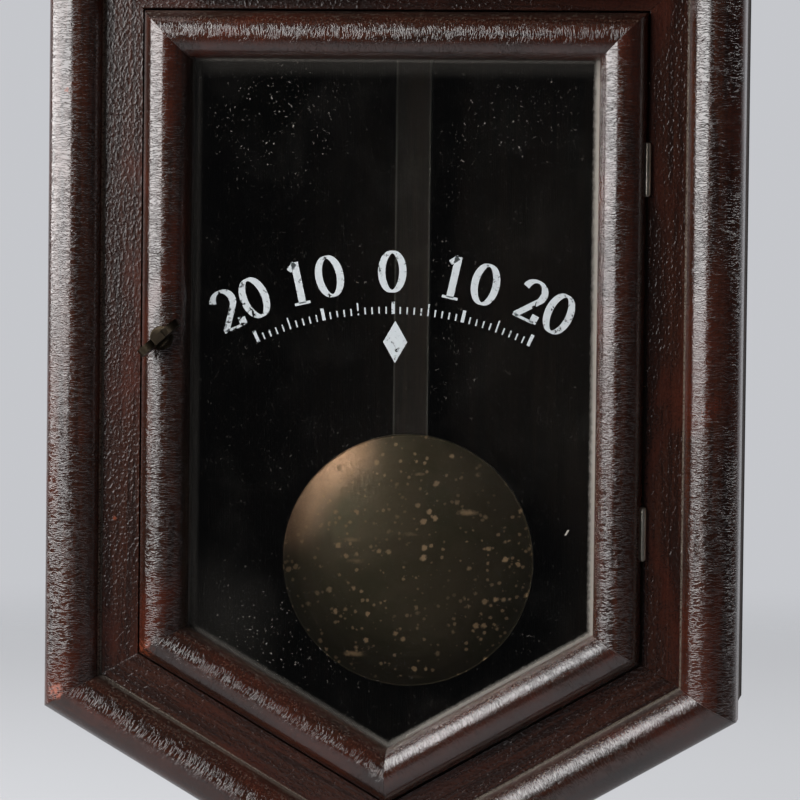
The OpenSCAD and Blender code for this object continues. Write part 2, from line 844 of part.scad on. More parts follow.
// Depths of the movement's layers, from the back plate forwards
plate_back = back_t + post_len;
inside_back = plate_back + plate_t;
inside_front = inside_back + plate_gap;
plate_front = inside_front + plate_t;
escape_depth = inside_back + 6;
third_depth = inside_back + 14;
spring_depth = inside_back + 3;
great_depth = spring_depth + spring_w + 1.5;
great_t = 2;
ratchet_depth = great_depth + great_t + 0.5;
centre_depth = inside_back + 30;
wheel_t = 1.3;
cannon_depth = plate_front + 0.5;
minute_depth = cannon_depth + 1.5;
hour_depth = minute_depth + wheel_t + 2;

arbor_r = 2;
pivot_r = 1;
winding_r = 3;
drum_r = 5;
cannon_pipe_r = 3.3;
hour_pipe_r = 4.9;
minute_stud_r = 1.5;
pillar_r = 4;
pillar_flange = 1.4;
thread_r = 2.2;
nut_across = 8.8;
nut_t = 3;
post_r = 4.6;
post_nut_depth = 1;
stud_len = 8;

// The pillars near the corners of the plates, and the posts behind them
pillar_top = verge_c[1] + 2;
pillar_low = great_c[1] - 23.2;
pillar_top_x = 40;
pillar_low_x = 46;
plate_edge = 8;
plate_corner = 4;
pillar_places = [[-pillar_top_x, pillar_top], [pillar_top_x, pillar_top], [-pillar_low_x, pillar_low],
  [pillar_low_x, pillar_low]];
post_places = pillar_places;

// Points of a wheel: straight flanks inside the pitch circle, an arched tip outside it
function wheel_points(c, teeth, m, turn) = let (r = m * teeth / 2, h = 0.76 * m / r * 180 / PI) [
  for (i = [0 : teeth - 1]) let (a = turn + 360 * i / teeth)
    each [polar(c, r - 0.9 * m, a - h), polar(c, r, a - h), polar(c, r + 0.6 * m, a - 0.68 * h),
      polar(c, r + 1.1 * m, a - 0.2 * h), polar(c, r + 1.1 * m, a + 0.2 * h),
      polar(c, r + 0.6 * m, a + 0.68 * h), polar(c, r, a + h), polar(c, r - 0.9 * m, a + h)]];

// Points of a pinion: radial leaves with a low rounded tip
function pinion_points(c, leaves, m, turn) = let (r = m * leaves / 2, h = 0.5 * m / r * 180 / PI) [
  for (i = [0 : leaves - 1]) let (a = turn + 360 * i / leaves)
    each [polar(c, r - 1.4 * m, a - h), polar(c, r, a - h), polar(c, r + 0.3 * m, a - 0.75 * h),
      polar(c, r + 0.45 * m, a - 0.3 * h), polar(c, r + 0.45 * m, a + 0.3 * h),
      polar(c, r + 0.3 * m, a + 0.75 * h), polar(c, r, a + h), polar(c, r - 1.4 * m, a + h)]];

// Windows between five spokes
module windows(c, r_in, r_out, spoke, turn, d0, d1) {
  for (i = [0 : 4]) {
    a = turn + 72 * i;
    wi = asin(spoke / 2 / r_in);
    wo = asin(spoke / 2 / r_out);
    slab(concat(arc(c, r_in, a + wi, a + 72 - wi, 4), arc(c, r_out, a + 72 - wo, a + wo, 8)), d0 - 1, d1 + 1);
  }
}

module arbor(c, r, d0, d1) {
  post(c, pivot_r, d0 - plate_t, d1 + plate_t);
  post(c, r, d0 + 0.2, d1 - 0.2);
}

// Posts that carry the movement, each with a threaded end through the back board
module movement_posts() {
  color([0.6, 0.46, 0.22]) for (c = post_places) difference() {
    union() {
      post(c, 8, back_t, back_t + 3);
      post(c, post_r, back_t, plate_back);
      post(c, post_r + 1, plate_back - 4, plate_back);
      post(c, thread_r, 0.5, back_t + 1);
    }
    post(c, thread_r + run, plate_back - stud_len - 2, plate_back + 1);
  }
}

// A plate with four windows, wider below than above
module plate_outline(d0, d1) {
  top = pillar_top + plate_edge;
  low = pillar_low - plate_edge;
  xt = pillar_top_x + plate_edge;
  xl = pillar_low_x + plate_edge;
  k = plate_corner;
  difference() {
    slab([[k - xt, top], [-xt, top - k], [-xl, low + k], [k - xl, low], [xl - k, low], [xl, low + k],
      [xt, top - k], [xt - k, top]], d0, d1);
    both_sides() {
      slab(rounded([14, 34], [third_c[1] - 2, verge_c[1] - 7], 7), d0 - 1, d1 + 1);
      slab(rounded([16, 40], [great_c[1] - 12, great_c[1] + 20], 7), d0 - 1, d1 + 1);
    }
    for (c = pillar_places) post(c, thread_r + run, d0 - 1, d1 + 1);
    for (c = [third_c, escape_c]) post(c, pivot_r + run, d0 - 1, d1 + 1);
  }
}

module back_plate() {
  color([0.72, 0.57, 0.28]) difference() {
    plate_outline(plate_back, inside_back);
    for (c = [great_c, centre]) post(c, pivot_r + run, plate_back - 1, inside_back + 1);
    post(verge_c, 4, plate_back - 1, inside_back + 1);
  }
}

module front_plate() {
  color([0.72, 0.57, 0.28]) {
    difference() {
      plate_outline(inside_front, plate_front);
      post(great_c, winding_r + run, inside_front - 1, plate_front + 1);
      post(centre, arbor_r + run, inside_front - 1, plate_front + 1);
      post(verge_c, pivot_r + run, inside_front - 1, plate_front + 1);
    }
    post(motion_c, minute_stud_r, plate_front - 0.5, hour_depth + 4);
  }
}

module plate_pillars() {
  color([0.7, 0.54, 0.26]) for (c = pillar_places) {
    post(c, pillar_r, inside_back, inside_front);
    post(c, pillar_r + pillar_flange, inside_back, inside_back + 2);
    post(c, pillar_r + pillar_flange, inside_front - 2, inside_front);
    post(c, thread_r, plate_back - stud_len, plate_front + nut_t + 1);
  }
}

// Hex nuts on the pillars in front and on the posts behind the back board
module pillar_nuts() {
  color([0.45, 0.43, 0.4]) for (c = pillar_places) for (d = [plate_front, post_nut_depth]) difference() {
    translate([c[0], -d, c[1]]) rotate([90, 0, 0]) cylinder(r = nut_across / 2, h = nut_t, $fn = 6);
    post(c, thread_r, d - 1, d + nut_t + 1);
  }
}

ratchet_r = 13;
ratchet_t = 2;
ratchet_teeth = 20;
click_c = polar(great_c, ratchet_r + 6.5, 150);
click_stud_r = 1.2;
click_boss_r = 2.6;
click_nose = polar(great_c, ratchet_r + play, 113);
// The click's wire spring runs from its foot to a point just above the click
spring_foot = polar(great_c, ratchet_r + 7, 70);
spring_tip = click_nose + [-4, 4.4];

module great_wheel() {
  r = great_m * great_teeth / 2;
  color([0.75, 0.6, 0.3]) {
    difference() {
      slab(wheel_points(great_c, great_teeth, great_m, 90), great_depth, great_depth + great_t);
      windows(great_c, 24, r - 5, 6, 18, great_depth, great_depth + great_t);
      post(great_c, winding_r + run, great_depth - 1, great_depth + great_t + 1);
    }
    post(click_c, click_stud_r, great_depth + great_t - eps, ratchet_depth + ratchet_t + 0.8);
    post(spring_foot, 1.4, great_depth + great_t - eps, ratchet_depth + ratchet_t);
    slab([spring_foot + [0, -0.3], spring_foot + [0, 0.3], spring_tip + [0, 0.3], spring_tip - [0, 0.3]],
      ratchet_depth + 0.4, ratchet_depth + ratchet_t - 0.4);
  }
}

module winding_arbor() {
  square_w = 4.2;
  step = 360 / ratchet_teeth;
  front = ratchet_depth + ratchet_t;
  color([0.5, 0.5, 0.52]) {
    post(great_c, pivot_r, plate_back, inside_back + 1);
    post(great_c, winding_r, inside_back + 0.3, plate_front + 6);
    post(great_c, drum_r, spring_depth, spring_depth + spring_w);
    slab([for (a = [45 : 90 : 315]) polar(great_c, square_w / sqrt(2), a)], plate_front + 5, head_face - 1.5);
    slab([for (i = [0 : ratchet_teeth - 1]) each
      [polar(great_c, ratchet_r, step * i - 3), polar(great_c, ratchet_r, step * i - 1),
        polar(great_c, ratchet_r - 2, step * i)]], ratchet_depth, front);
    post(great_c, drum_r, front - eps, front + 2);
  }
}

module click() {
  b = click_boss_r;
  color([0.5, 0.5, 0.52]) difference() {
    union() {
      post(click_c, b, ratchet_depth, ratchet_depth + ratchet_t);
      slab([click_c + [0.2, -0.9 * b], click_nose, click_nose + [0, 1.9], click_c + [0.2, 0.9 * b]],
        ratchet_depth, ratchet_depth + ratchet_t);
    }
    post(click_c, click_stud_r + run, ratchet_depth - 1, ratchet_depth + ratchet_t + 1);
  }
}

// The mainspring: a flat strip wound outwards from the drum, with an eye round the lower right pillar
spring_strip = 0.5;
spring_in = drum_r + play + spring_strip / 2;
spring_out = 35;
eye_r = pillar_r + play;
eye_c = pillar_places[3];
eye_reach = norm(eye_c - great_c) - eye_r - spring_strip / 2;
eye_angle = atan2(eye_c[1] - great_c[1], eye_c[0] - great_c[0]);
spring_coil = 360 * spring_turns;
spring_tail = 100;
spring_steps = 24 * spring_turns;
spring_start = eye_angle - spring_coil - spring_tail;

function spring_r(t) = spring_in + (spring_out - spring_in) * min(t, spring_coil) / spring_coil
  + (eye_reach - spring_out) * pow(max(0, t - spring_coil) / spring_tail, 2);

module mainspring() {
  ts = [for (i = [0 : spring_steps]) (spring_coil + spring_tail) * i / spring_steps];
  color([0.2, 0.22, 0.3]) difference() {
    union() {
      slab(concat([for (t = ts) polar(great_c, spring_r(t) + spring_strip / 2, spring_start + t)],
        [for (i = [spring_steps : -1 : 0])
          polar(great_c, spring_r(ts[i]) - spring_strip / 2, spring_start + ts[i])]),
        spring_depth, spring_depth + spring_w);
      post(eye_c, eye_r + spring_strip, spring_depth, spring_depth + spring_w);
    }
    post(eye_c, eye_r, spring_depth - 1, spring_depth + spring_w + 1);
  }
}
echo(mainspring_least_gap = (spring_out - spring_in) / spring_turns - spring_strip);

module centre_arbor() {
  color([0.55, 0.55, 0.56]) {
    post(centre, pivot_r, plate_back, inside_back + 1);
    post(centre, arbor_r, inside_back + 0.2, minute_front + hand_nut_h + 0.3);
    slab(pinion_points(centre, centre_leaves, great_m, 90 + 180 / centre_leaves), great_depth - 1,
      great_depth + great_t + 1.6);
  }
}

module wheel(c, teeth, m, turn, bore, hub, d) {
  r = m * teeth / 2;
  difference() {
    union() {
      slab(wheel_points(c, teeth, m, turn), d, d + wheel_t);
      post(c, hub, d - 0.8, d + wheel_t + 0.8);
    }
    windows(c, hub + 1.5, r - 3, 2.6, 10, d, d + wheel_t);
    post(c, bore, d - 2, d + wheel_t + 2);
  }
}

module centre_wheel() {
  color([0.75, 0.6, 0.3]) wheel(centre, centre_teeth, centre_m, 90 + third_lean, arbor_r, 4.2, centre_depth);
}

module cannon_pinion() {
  color([0.55, 0.55, 0.56]) difference() {
    union() {
      slab(pinion_points(centre, cannon_leaves, motion_m, motion_lean), cannon_depth, cannon_depth + 3.4);
      post(centre, cannon_pipe_r, cannon_depth, minute_front);
    }
    post(centre, arbor_r, cannon_depth - 1, minute_front + 1);
  }
}

module minute_wheel() {
  turn = motion_lean + 180 + 180 / minute_teeth;
  color([0.75, 0.6, 0.3]) difference() {
    union() {
      slab(wheel_points(motion_c, minute_teeth, motion_m, turn), minute_depth, minute_depth + wheel_t);
      slab(pinion_points(motion_c, minute_leaves, hour_m, motion_lean + 180), minute_depth + wheel_t - eps,
        hour_depth + 2.6);
    }
    post(motion_c, minute_stud_r + run, minute_depth - 1, hour_depth + 4);
  }
}

module hour_wheel() {
  turn = motion_lean + 180 / hour_teeth;
  color([0.75, 0.6, 0.3]) difference() {
    union() {
      slab(wheel_points(centre, hour_teeth, hour_m, turn), hour_depth, hour_depth + wheel_t);
      post(centre, hour_pipe_r, hour_depth - 0.4, hour_front);
    }
    post(centre, cannon_pipe_r + run, hour_depth - 1, hour_front + 1);
  }
}

module third_wheel() {
  color([0.75, 0.6, 0.3]) {
    arbor(third_c, 1.6, inside_back, inside_front);
    slab(pinion_points(third_c, third_leaves, centre_m, 270 + third_lean + 180 / third_leaves),
      centre_depth - 1.2, centre_depth + wheel_t + 1.2);
    wheel(third_c, third_teeth, third_m, escape_side, 1.5, 4, third_depth);
  }
}

module escape_wheel() {
  step = 360 / escape_teeth;
  color([0.75, 0.6, 0.3]) {
    arbor(escape_c, 1.5, inside_back, inside_front);
    slab(pinion_points(escape_c, escape_leaves, third_m, escape_side + 180 + 180 / escape_leaves),
      third_depth - 1.2, third_depth + wheel_t + 1.2);
    difference() {
      union() {
        slab([for (i = [0 : escape_teeth - 1]) each [polar(escape_c, escape_r - 2.6, step * i),
          polar(escape_c, escape_r, step * i + 0.3 * step), polar(escape_c, escape_r, step * i + 0.36 * step),
          polar(escape_c, escape_r - 2.6, step * i + 0.62 * step)]], escape_depth, escape_depth + wheel_t);
        post(escape_c, 4, escape_depth - 0.8, escape_depth + wheel_t + 0.8);
      }
      windows(escape_c, 5.5, escape_r - 5, 2.4, 0, escape_depth, escape_depth + wheel_t);
      post(escape_c, 1.4, escape_depth - 2, escape_depth + wheel_t + 2);
    }
  }
}

crutch_depth = plate_back - 6;
crutch_t = 2;
crutch_drop = 70;
crutch_pin_r = 1.2;
cock_t = 2;
cock_depth = crutch_depth - cock_t - 2;
cock_half = 17;
// Slit of the stud that grips the suspension spring
slit_half = 0.5;
spring_half = 3;
stud_low = verge_c[1] + 1.4;
suspension_low = verge_c[1] - 22;
rod_top = verge_c[1] - 50;
cap_low = rod_top - 11;

// Bent strip over the escape wheel, on the verge's arbor, with the crutch behind the back plate
module verge() {
  nib = escape_r + 1.8;
  tip = polar(escape_c, nib, 52);
  arm = [[5, 3.4], [tip[0] + 1.4, -4], [tip[0] + 1.9, tip[1] - verge_c[1] + 1.6],
    [tip[0], tip[1] - verge_c[1]], [tip[0] - 1.8, tip[1] - verge_c[1] + 1.8], [10.6, -5], [4, -1.6]];
  back = [for (i = [len(arm) - 1 : -1 : 0]) [-arm[i][0], arm[i][1]]];
  color([0.5, 0.5, 0.52]) {
    post(verge_c, 1.4, cock_depth + cock_t + 0.2, inside_front - 0.2);
    post(verge_c, pivot_r, cock_depth, plate_front);
    translate([verge_c[0], 0, verge_c[1]])
      slab(concat([[0, 4.4]], arm, back), escape_depth - 1.4, escape_depth + wheel_t + 1.4);
    post(verge_c, 3.4, crutch_depth - 0.6, crutch_depth + crutch_t + 0.6);
    block([-1.5, 1.5], [crutch_depth, crutch_depth + crutch_t], [verge_c[1] - crutch_drop - 2, verge_c[1]]);
    post(verge_c - [0, crutch_drop], crutch_pin_r, rod_depth - rod_t / 2 - 1.5, crutch_depth + 1);
  }
}

// Bridge behind the back plate for the verge's rear pivot, with the split stud that holds the suspension
module verge_cock() {
  w = cock_half;
  z = [verge_c[1] - 8, verge_c[1] + 14];
  color([0.7, 0.54, 0.26]) difference() {
    union() {
      block([-w, w], [cock_depth, cock_depth + cock_t], z);
      both_sides() block([w - 4, w], [cock_depth, plate_back], z);
      block([-4, 4], [rod_depth - spring_half - 1.5, cock_depth + 1], [stud_low, z[1] - 3]);
    }
    post(verge_c, pivot_r + run, cock_depth - 1, cock_depth + cock_t + 1);
    block([-slit_half, slit_half], [rod_depth - spring_half - 2, rod_depth + spring_half + 0.5],
      [stud_low - 1, stud_low + 5]);
  }
}

module suspension_spring() {
  d = [rod_depth - spring_half, rod_depth + spring_half];
  color([0.4, 0.42, 0.48]) {
    block([-0.15, 0.15], d, [suspension_low + 4, verge_c[1] + 4]);
    block([-3.5, 3.5], d, [suspension_low, suspension_low + 8]);
  }
}

// Brass cap on the top of the rod, with the neck that hangs from the suspension spring
module rod_cap() {
  w = rod_w / 2 + 1.2;
  t = rod_t / 2 + 1;
  color([0.65, 0.5, 0.25]) {
    difference() {
      block([-w, w], [rod_depth - t, rod_depth + t], [cap_low, rod_top + 3]);
      block([-rod_w / 2, rod_w / 2], [rod_depth - rod_t / 2, rod_depth + rod_t / 2], [cap_low - 1, rod_top]);
    }
    translate([0, -rod_depth, rod_top + 2]) cylinder(r = 1.8, h = suspension_low - rod_top - 3);
    block([-3.5, 3.5], [rod_depth - spring_half, rod_depth + spring_half],
      [suspension_low - 5, suspension_low]);
  }
}

stem_r = 1.6;
stem_in = 12;
stem_down = 50;
rod_end = bob_z - 8;

module pendulum_rod() {
  h = rod_w / 2;
  slot = crutch_pin_r + 0.15;
  pin_z = verge_c[1] - crutch_drop;
  color([0.3, 0.17, 0.1]) difference() {
    block([-h, h], [rod_depth - rod_t / 2, rod_depth + rod_t / 2], [rod_end, rod_top]);
    block([-slot, slot], [rod_depth - rod_t, rod_depth + rod_t], [pin_z - 6, pin_z + 6]);
    translate([0, -rod_depth, rod_end - 1]) cylinder(r = stem_r, h = stem_in + 1);
  }
}

module rating_stem() {
  color([0.5, 0.42, 0.25]) translate([0, -rod_depth, bob_z - stem_down])
    cylinder(r = stem_r, h = rod_end + stem_in - bob_z + stem_down);
}

nut_h = 6;
nut_r = 6.5;
nut_z = bob_z - 31;
bob_back = rod_depth + rod_t / 2 + 0.4;
yoke_z = nut_z + nut_h + 0.2;
yoke_t = 3.2;

// Brass disc with a crowned face, hollowed behind for the nut
module bob_disc() {
  r = bob_d / 2;
  edge = r - 0.6;
  crown_r = (edge * edge + bob_crown * bob_crown) / (2 * bob_crown);
  half = asin(edge / crown_r);
  crown = [for (i = [0 : 9]) let (a = half * (1 - i / 9))
    [crown_r * sin(a), bob_rim + bob_crown - crown_r * (1 - cos(a))]];
  pocket = nut_r + 2.5;
  difference() {
    translate([0, -bob_back, bob_z]) rotate([90, 0, 0]) rotate_extrude($fn = 96)
      polygon(concat([[0, 0], [r, 0], [r, bob_rim]], crown));
    slab(rounded([-pocket, pocket], [nut_z - 11, nut_z + nut_h + 3.6], 6), bob_back - 1,
      rod_depth + nut_r + 1);
  }
}

// The disc, a loop that slides on the rod, and a yoke that rests on the rating nut
module pendulum_bob() {
  in = rod_w / 2 + play;
  back = rod_depth - rod_t / 2 - play;
  color([0.35, 0.3, 0.18]) {
    bob_disc();
    difference() {
      block([-in - 2, in + 2], [back - 1.6, bob_back + 1], [bob_z + 20, bob_z + 30]);
      block([-in, in], [back, bob_back + 2], [bob_z + 19, bob_z + 31]);
    }
    difference() {
      block([-6, 6], [rod_depth - 4, rod_depth + nut_r + 1.5], [yoke_z, yoke_z + yoke_t]);
      translate([0, -rod_depth, nut_z]) cylinder(r = stem_r + 0.1, h = 20);
    }
  }
}

module rating_nut() {
  n = 18;
  color([0.7, 0.54, 0.26]) translate([0, -rod_depth, nut_z]) difference() {
    linear_extrude(nut_h)
      polygon([for (i = [0 : 2 * n - 1]) polar([0, 0], nut_r - 0.5 * (i % 2), 180 / n * i)]);
    translate([0, 0, -1]) cylinder(r = stem_r + run, h = nut_h + 2);
  }
}

back_board();
hanger_plate();
hanger_screws();
case_sides();
case_bottom_boards();
case_head_boards();
front_stile_left();
front_stile_right();
front_rails_lower();
front_rail_top();
edge_mouldings_side();
edge_mouldings_lower();
head_frame();
head_moulding();
door_stile_left();
door_stile_right();
door_rail_top();
door_rails_lower();
door_glass();
door_glass_beads();
door_hinge_leaves();
case_hinge_leaves();
hinge_pins();
turn_thumb_piece();
turn_tongue();
turn_collar();
turn_keeper();
dial_pan();
brass_screws();
bezel_ring();
bezel_glass();
bezel_hinge_bracket();
bezel_catch();
hour_hand();
minute_hand();
hand_nut();
movement_posts();
back_plate();
front_plate();
plate_pillars();
pillar_nuts();
great_wheel();
winding_arbor();
click();
mainspring();
centre_arbor();
centre_wheel();
cannon_pinion();
minute_wheel();
hour_wheel();
third_wheel();
escape_wheel();
verge();
verge_cock();
suspension_spring();
rod_cap();
pendulum_rod();
rating_stem();
pendulum_bob();
rating_nut();
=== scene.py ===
"""Finishes, dust, dial figures, light and camera for the long-drop wall clock. Lengths are in metres, in the
clock's own frame, and the nodes of a material read places in millimetres."""
import functools
import math

import bmesh
import bpy
from mathutils import Matrix, Vector


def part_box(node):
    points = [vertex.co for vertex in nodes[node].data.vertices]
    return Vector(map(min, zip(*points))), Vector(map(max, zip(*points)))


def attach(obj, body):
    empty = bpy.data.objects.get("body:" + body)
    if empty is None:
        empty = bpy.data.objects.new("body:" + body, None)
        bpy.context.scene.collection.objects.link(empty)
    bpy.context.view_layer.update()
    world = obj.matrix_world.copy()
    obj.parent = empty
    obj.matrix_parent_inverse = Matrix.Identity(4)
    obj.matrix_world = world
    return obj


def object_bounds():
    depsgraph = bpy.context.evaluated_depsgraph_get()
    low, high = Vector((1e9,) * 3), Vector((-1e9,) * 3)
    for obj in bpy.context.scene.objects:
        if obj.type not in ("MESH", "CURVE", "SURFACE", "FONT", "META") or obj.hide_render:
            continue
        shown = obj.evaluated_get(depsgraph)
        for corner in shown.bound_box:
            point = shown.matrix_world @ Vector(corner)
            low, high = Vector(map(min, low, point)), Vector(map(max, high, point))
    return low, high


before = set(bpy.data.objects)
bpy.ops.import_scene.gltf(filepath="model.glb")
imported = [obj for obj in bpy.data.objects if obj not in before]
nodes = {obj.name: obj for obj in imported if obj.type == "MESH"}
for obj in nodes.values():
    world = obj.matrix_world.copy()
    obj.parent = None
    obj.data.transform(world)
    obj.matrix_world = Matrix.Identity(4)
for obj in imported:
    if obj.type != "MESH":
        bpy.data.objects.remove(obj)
cad_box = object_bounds()
scene = bpy.context.scene

MM = 0.001
PICTURE_SIDE = 800

# Camera, from the photograph's perspective
FOCAL_PIXELS = 4629.6
SENSOR_MM = 36.0
CAMERA_AT = Vector((0.2516, -2.0514, -0.4939))
CAMERA_YAW = math.radians(-7.22)
CAMERA_PITCH = math.radians(-2.33)
CAMERA_ROLL = math.radians(0.65)

# Light: the upright edges, heights and strength of the window, the fill lamp, and the surroundings' colours,
# with the share of a direction that points behind the clock where the pale one begins and is full
WINDOW_NEAR = Vector((-0.40, -1.07, 0))
WINDOW_FAR = Vector((-1.75, 0.60, 0))
WINDOW_HEIGHTS = (-0.57, 0.34)
WINDOW_RADIANCE = 6.8
FILL_AT = Vector((1.45, 0.62, 1.20))
FILL_SIDE = 1.3
FILL_RADIANCE = 9.0
LAMP_TONE = (0.99, 0.985, 0.985)
WORLD_PALE = (0.56, 0.57, 0.60)
WORLD_DIM = (0.025, 0.0255, 0.0275)
PALE_BEHIND = (0.45, 0.90)

# The dial's middle, the bob's height and its radius, a height inside the lower case that its inner faces look
# towards, and the slope of the lower members
DIAL_MIDDLE = sum(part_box("dial_pan"), Vector()) / 2
DIAL_Z = DIAL_MIDDLE.z / MM
BOB_Z = sum(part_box("pendulum_bob"), Vector()).z / 2 / MM
BOB_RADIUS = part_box("pendulum_bob")[1].x / MM
CASE_MIDDLE_Z = -450.0
SLOPE = math.radians(30)
# Half widths of the front, and the height of the lower corner between its flat wood and its mouldings
MOULDING_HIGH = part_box("edge_mouldings_lower")[1] / MM
EDGE_MOULDING_WIDE = 24.0
STRIP_HALF = MOULDING_HIGH.x - EDGE_MOULDING_WIDE
STRIP_CORNER = MOULDING_HIGH.z
# The sight opening of the door: its half width, its top, and the height of its two lower corners
DOOR_RAIL_WIDE = 20.3
SIGHT_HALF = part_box("door_rails_lower")[1].x / MM - DOOR_RAIL_WIDE
SIGHT_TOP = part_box("door_rail_top")[0].z / MM
SIGHT_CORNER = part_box("door_rails_lower")[1].z / MM
GLASS_FRONT = -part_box("door_glass")[0].y
ROD_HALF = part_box("pendulum_rod")[1].x / MM


def camera_axes():
    """The camera's right, up and forward directions."""
    forward = Vector((math.sin(CAMERA_YAW) * math.cos(CAMERA_PITCH),
                      math.cos(CAMERA_YAW) * math.cos(CAMERA_PITCH), math.sin(CAMERA_PITCH)))
    level = Vector((math.cos(CAMERA_YAW), -math.sin(CAMERA_YAW), 0))
    rise = level.cross(forward)
    right = level * math.cos(CAMERA_ROLL) + rise * math.sin(CAMERA_ROLL)
    up = rise * math.cos(CAMERA_ROLL) - level * math.sin(CAMERA_ROLL)
    return right, up, forward


def make_camera():
    """The camera at the photograph's place, with its long lens."""
    data = bpy.data.cameras.new("camera")
    data.sensor_width = SENSOR_MM
    data.lens = FOCAL_PIXELS / PICTURE_SIDE * SENSOR_MM
    data.clip_end = 60
    camera = bpy.data.objects.new("camera", data)
    scene.collection.objects.link(camera)
    right, up, forward = camera_axes()
    turn = Matrix((right, up, -forward)).transposed()
    camera.matrix_world = Matrix.Translation(CAMERA_AT) @ turn.to_4x4()
    scene.camera = camera


# Materials


class Field:
    """A number that varies over a surface. Arithmetic on it adds Math nodes."""

    def __init__(self, paint, socket):
        self.paint = paint
        self.socket = socket

    def __add__(self, other):
        return self.paint.calc("ADD", self, other)

    def __sub__(self, other):
        return self.paint.calc("SUBTRACT", self, other)

    def __mul__(self, other):
        return self.paint.calc("MULTIPLY", self, other)

    def __rsub__(self, other):
        return self.paint.calc("SUBTRACT", other, self)

    __radd__ = __add__
    __rmul__ = __mul__

    def abs(self):
        return self.paint.calc("ABSOLUTE", self)

    def most(self, other):
        return self.paint.calc("MAXIMUM", self, other)

    def step(self, low, high):
        """0 below low, 1 above high, smooth between them. The other way round if low is the larger."""
        return self.paint.step(self, low, high)


def most_of(fields):
    """The largest of several fields at each place."""
    return functools.reduce(Field.most, fields)


class Paint:
    """A material and its nodes."""

    def __init__(self, name, **values):
        self.material = bpy.data.materials.new(name)
        self.material.use_nodes = True
        self.tree = self.material.node_tree
        self.surface = self.tree.nodes["Principled BSDF"]
        for label, value in values.items():
            self.surface.inputs[label.replace("_", " ")].default_value = value
        coordinates = self.node("TexCoord")
        self.object_place = coordinates.outputs["Object"]
        self.facing = coordinates.outputs["Normal"]
        scaled = self.node("VectorMath", operation="SCALE")
        self.feed(scaled.inputs[0], self.object_place)
        scaled.inputs["Scale"].default_value = 1 / MM
        self.place = scaled.outputs[0]
        self.x, self.y, self.z = self.parts_of(self.place)

    def parts_of(self, vector):
        """The x, y and z of a vector, as fields."""
        split = self.node("SeparateXYZ")
        self.feed(split.inputs[0], vector)
        return [Field(self, socket) for socket in split.outputs]

    def node(self, kind, **settings):
        made = self.tree.nodes.new("ShaderNode" + kind)
        for key, value in settings.items():
            setattr(made, key, value)
        return made

    def feed(self, socket, value):
        if isinstance(value, Field):
            value = value.socket
        if isinstance(value, bpy.types.NodeSocket):
            self.tree.links.new(value, socket)
        else:
            socket.default_value = value

    def set(self, label, value):
        self.feed(self.surface.inputs[label], value)

    def calc(self, operation, a, b=0.0):
        made = self.node("Math", operation=operation)
        self.feed(made.inputs[0], a)
        self.feed(made.inputs[1], b)
        return Field(self, made.outputs[0])

    def step(self, value, low, high):
        made = self.node("MapRange", interpolation_type="SMOOTHSTEP")
        to = (0.0, 1.0) if low < high else (1.0, 0.0)
        for label, number in (("Value", value), ("From Min", min(low, high)), ("From Max", max(low, high)),
                              ("To Min", to[0]), ("To Max", to[1])):
            self.feed(made.inputs[label], number)
        return Field(self, made.outputs["Result"])

    def vector(self, x, y, z):
        made = self.node("CombineXYZ")
        for socket, value in zip(made.inputs, (x, y, z)):
            self.feed(socket, value)
        return made.outputs[0]

    def noise(self, where, scale=1.0, detail=2.0, rough=0.5, twist=0.0):
        made = self.node("TexNoise")
        for label, value in (("Vector", where), ("Scale", scale), ("Detail", detail), ("Roughness", rough),
                             ("Distortion", twist)):
            self.feed(made.inputs[label], value)
        return Field(self, made.outputs["Fac"])

    def cells(self, where, scale=1.0, feature="F1"):
        """The distance to the nearest of scattered points, or to the edge of its cell."""
        made = self.node("TexVoronoi", feature=feature)
        for label, value in (("Vector", where), ("Scale", scale)):
            self.feed(made.inputs[label], value)
        self.cell_colour = made.outputs.get("Color")
        return Field(self, made.outputs["Distance"])

    def mix(self, factor, first, second, blend="MIX"):
        """A colour between the first, at factor 0, and the second, at factor 1."""
        made = self.node("Mix", data_type="RGBA", blend_type=blend)
        self.feed(made.inputs["Factor"], factor)
        for socket, value in ((made.inputs[6], first), (made.inputs[7], second)):
            self.feed(socket, value if isinstance(value, bpy.types.NodeSocket) else (*value, 1.0))
        return made.outputs[2]

    def bump(self, height, depth_mm, strength=1.0):
        """Relief as deep as depth_mm where height goes from 0 to 1."""
        made = self.node("Bump")
        for label, value in (("Height", height), ("Distance", depth_mm * MM), ("Strength", strength)):
            self.feed(made.inputs[label], value)
        self.set("Normal", made.outputs[0])

    def upward(self):
        """1 on a face that looks up, 0 on one that looks level or down."""
        return self.parts_of(self.facing)[2].step(0.3, 0.95)

    def inward(self, centre_z):
        """1 on a face that looks towards the middle of the case at the height centre_z, 0 on other faces."""
        facing_x, _, facing_z = self.parts_of(self.facing)
        return (facing_x * self.x + facing_z * (self.z - centre_z)).step(-5.0, -15.0)

    def outward(self):
        """About 0.75, uneven along the grain, on a face that looks to the wall, 0 on other faces."""
        towards_wall = self.parts_of(self.facing)[1].step(0.5, 0.9)
        along_grain = self.vector(self.x * 0.30, self.y, self.z * 0.012)
        return towards_wall * (self.noise(along_grain, detail=4, rough=0.62, twist=0.5) * 0.9 + 0.30)

    def colour_of(self, label):
        """The colour that already feeds a socket of the surface."""
        return self.surface.inputs[label].links[0].from_socket

    def spot(self, x, z, radius, edge=0.4):
        """1 within the radius of a point of the front, 0 beyond it, soft by the edge share to either side."""
        return self.distance(x, z).step(radius * (1 + edge), radius * (1 - edge))

    def distance(self, x, z):
        """The distance across the front from a point, whatever the depth."""
        across = self.x - x
        up = self.z - z
        return self.calc("SQRT", across * across + up * up)


def lay_upright(p):
    return p.z, p.x


def lay_level(p):
    return p.x, p.z


